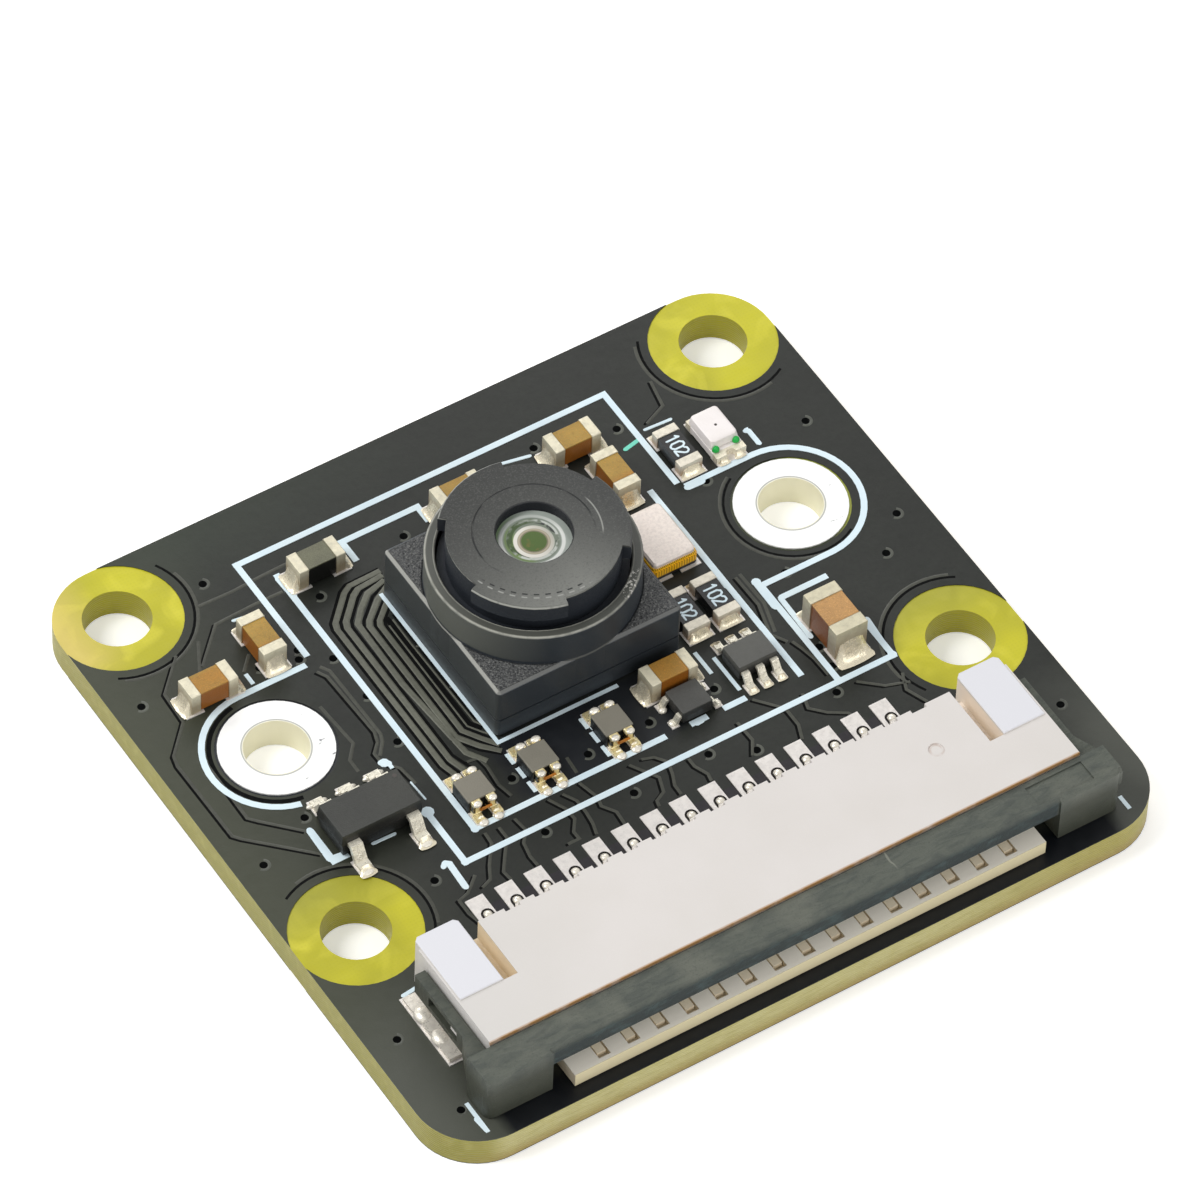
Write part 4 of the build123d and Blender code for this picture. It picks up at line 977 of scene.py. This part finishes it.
# Rounded tail tips on their pads, each with a dark painted shadow round it, and painted shade on the lacquer
# between the pads.
roots, between, tips = Sheet(), Sheet(), Sheet()
for x in CONTACTS:
    ring = arc(x, -5.0, 0.165, 0, 180, 10)
    ribbon(roots, [(x + 0.165, -5.35)] + ring + [(x - 0.165, -5.35)], 0.05, SEAT, SEAT + 0.02, 0.01)
    bump_dome(tips, x, -5.03, 0.14, 0.15, 0.1, SEAT, 16, 4)
for x in CONTACTS[:-1]:
    ribbon(between, [(x + 0.46, -4.7), (x + 0.46, -5.6)], 0.3, TOP, TOP + 0.005, 0.04)
looks["root"] = plastic_look("tail_root", (34, 31, 28), 0.7, 14, 0.01, Specular_IOR_Level=0.2)
looks["between"] = mask_look("shade_between_pads", (36, 33, 37))
piece("tail_outlines", roots, "root")
piece("shade_between_pads", between, "between")
piece("tail_tips", tips, "bright_solder", smooth=True)

# Generic marks: pin-one figures and touches of ink, each a line and its width.
ink = [
    ([(-7.14, -2.87), (-7.02, -2.76), (-6.9, -2.86)], 0.16),
    ([(-6.93, -2.86), (-6.97, -3.82)], 0.19),
    ([(9.37, 6.48), (9.48, 6.44), (9.48, 5.85)], 0.14),
    ([(-9.76, 0.28), (-9.8, -0.93), (-9.35, -0.98)], 0.2),
    ([(6.8, 8.08), (7.71, 8.03)], 0.09), ([(6.68, 5.52), (7.2, 5.5)], 0.2),
    ([(6.74, 0.5), (6.7, -1.2)], 0.16), ([(6.45, 1.41), (6.44, 0.3)], 0.24),
    ([(8.5, -1.5), (8.42, -2.4)], 0.16), ([(-11.1, -11.0), (-11.05, -11.5)], 0.13),
    ([(-8.45, -1.08), (-7.7, -1.1)], 0.09), ([(-6.31, 0.27), (-6.27, -0.48)], 0.05),
    ([(-6.68, 1.33), (-6.5, 1.2)], 0.2), ([(-7.63, 8.14), (-7.33, 8.1)], 0.09),
    ([(2.02, -2.22), (2.24, -2.2)], 0.13), ([(-10.59, -6.22), (-9.95, -6.15)], 0.12),
    ([(2.3, 9.2), (3.3, 9.0)], 0.1), ([(-5.64, 8.85), (-5.6, 8.0)], 0.2),
    ([(-3.22, -0.33), (-3.22, -0.7)], 0.12), ([(-0.66, -0.42), (-0.68, -0.8)], 0.12),
    ([(5.65, 2.2), (5.62, 1.7)], 0.2),
]
blobs = [(-6.47, -0.92, 0.2), (-6.6, 1.28, 0.16), (8.4, -3.02, 0.14), (6.5, -3.02, 0.14),
         (-5.62, -2.16, 0.13), (-6.5, -3.04, 0.13), (-6.45, 9.9, 0.11), (6.45, 1.38, 0.15)]
marks = Sheet()
for line, width in ink:
    stroke(marks, line, width, TOP, TOP + 0.013)
for x, y, radius in blobs:
    disc(marks, x, y, radius, TOP, TOP + 0.0142)
piece("printed_figures", marks, "ink")
looks["cyan_ink"] = plastic_look("cyan_ink", (120, 220, 196), 0.6, 20, 0.006)
slant = Sheet()
stroke(slant, [(5.88, 7.73), (6.4, 7.84)], 0.12, TOP, TOP + 0.012)
piece("slanted_ink", slant, "cyan_ink")

# Plain figures on the resistors, each one line in a box about 0.5 wide and 1 high.
ONE = [(-0.2, 0.28), (0.0, 0.5), (0.0, -0.5)]
TWO = [(-0.28, 0.3), (-0.15, 0.47), (0.12, 0.47), (0.26, 0.3), (0.22, 0.1), (-0.28, -0.47), (0.28, -0.47)]
ZERO = [(-0.1, 0.5), (-0.27, 0.3), (-0.27, -0.3), (-0.1, -0.5), (0.1, -0.5), (0.27, -0.3), (0.27, 0.3),
        (0.1, 0.5), (-0.1, 0.5)]
FIGURE_WIDTH, FIGURE_HEIGHT, FIGURE_STEP = 0.44, 0.4, 0.27
codes = Sheet()
for cx, cy in RESISTORS:
    for i, figure in enumerate((ONE, ZERO, TWO)):
        y = cy + FIGURE_STEP * (1 - i)
        line = [(cx + v * FIGURE_WIDTH, y - u * FIGURE_HEIGHT) for u, v in figure]
        stroke(codes, line, 0.055, SEAT + 0.415, SEAT + 0.43)
piece("resistor_figures", codes, "ink")

# Green polarity marks and a dark die spot on the lamp, and the dot on the regulator.
looks["green"] = plastic_look("lamp_green", (10, 176, 70), 0.5, 12, 0.004)
looks["spot"] = plastic_look("dark_spot", (70, 64, 60), 0.5, 12, 0.004)
dots, spots = Sheet(), Sheet()
bump_dome(dots, 8.05, 6.08, 0.12, 0.1, 0.14, SEAT + 0.3)
bump_dome(dots, 8.78, 6.1, 0.12, 0.1, 0.14, SEAT + 0.3)
disc(spots, 8.46, 6.75, 0.045, SEAT + 0.54, SEAT + 0.555)
disc(spots, -6.98, 0.12, 0.07, SEAT + 0.88, SEAT + 0.905)
piece("lamp_polarity_dots", dots, "green", smooth=True)
piece("small_spots", spots, "spot")


def lamp(name, place, size, power):
    """A rectangular lamp at a place in millimetres, turned to the middle of the board."""
    light = bpy.data.lights.new(name, "AREA")
    light.shape = "RECTANGLE"
    light.size, light.size_y = size[0] * MM, size[1] * MM
    light.energy = power
    obj = bpy.data.objects.new(name, light)
    bpy.context.scene.collection.objects.link(obj)
    obj.location = Vector(place) * MM
    obj.rotation_euler = (-obj.location).to_track_quat("-Z", "Y").to_euler()


def studio_world(soft, shown):
    """Even soft light on the object, and a white surround where the camera, gloss or glass looks past it."""
    world = bpy.data.worlds.new("studio")
    bpy.context.scene.world = world
    world.use_nodes = True
    tree = world.node_tree
    tree.nodes.clear()
    path = tree.nodes.new("ShaderNodeLightPath")
    seen = path.outputs["Is Camera Ray"]
    for ray in ("Is Glossy Ray", "Is Transmission Ray"):
        either = tree.nodes.new("ShaderNodeMath")
        either.operation = "MAXIMUM"
        tree.links.new(seen, either.inputs[0])
        tree.links.new(path.outputs[ray], either.inputs[1])
        seen = either.outputs[0]
    mix = tree.nodes.new("ShaderNodeMixShader")
    tree.links.new(seen, mix.inputs[0])
    for i, strength in ((1, soft), (2, shown)):
        background = tree.nodes.new("ShaderNodeBackground")
        background.inputs["Strength"].default_value = strength
        tree.links.new(background.outputs[0], mix.inputs[i])
    out = tree.nodes.new("ShaderNodeOutputWorld")
    tree.links.new(mix.outputs[0], out.inputs["Surface"])


def floor(size, glow):
    """A plain pale floor that keeps a soft shadow and otherwise shows as white."""
    corners = [(-size, -size), (size, -size), (size, size), (-size, size)]
    mesh = bpy.data.meshes.new("floor")
    mesh.from_pydata([(x * MM, y * MM, -0.02 * MM) for x, y in corners], [], [[0, 1, 2, 3]])
    obj = bpy.data.objects.new("floor", mesh)
    bpy.context.scene.collection.objects.link(obj)
    look = Look("floor_paper", (250, 250, 250), 0.9, Specular_IOR_Level=0.0)
    path = look.add("ShaderNodeLightPath")
    seen = look.math("MAXIMUM", path.outputs["Is Camera Ray"], path.outputs["Is Glossy Ray"])
    shine = look.add("ShaderNodeEmission")
    look.join(look.times(seen, glow), shine.inputs["Strength"])
    both = look.add("ShaderNodeAddShader")
    look.join(look.shader.outputs[0], both.inputs[0])
    look.join(shine.outputs[0], both.inputs[1])
    look.join(both.outputs[0], look.tree.nodes["Material Output"].inputs["Surface"])
    mesh.materials.append(look.material)


def set_camera(place, turn, lens):
    """The photo's viewpoint, found from the board's holes, pads and edges."""
    data = bpy.data.cameras.new("camera")
    data.sensor_width = 36
    data.lens = lens
    data.clip_start = 0.01
    data.clip_end = 5
    camera = bpy.data.objects.new("camera", data)
    bpy.context.scene.collection.objects.link(camera)
    camera.matrix_world = Matrix.Translation(Vector(place) * MM) @ Matrix(turn).to_4x4()
    bpy.context.scene.camera = camera


lamp("key", (-120, 60, 170), (90, 90), 0.25)
lamp("fill", (20, -150, 90), (160, 100), 0.105)
lamp("back", (60, 160, 110), (140, 60), 0.10)
studio_world(soft=0.55, shown=1.0)
floor(size=400, glow=0.35)
set_camera(place=(-97.475, -141.255, 216.615), lens=280.982,
           turn=((0.843268, 0.400629, -0.358324),
                 (-0.536661, 0.664670, -0.519816),
                 (0.029914, 0.630642, 0.775497)))
bpy.context.scene.view_settings.view_transform = "Standard"
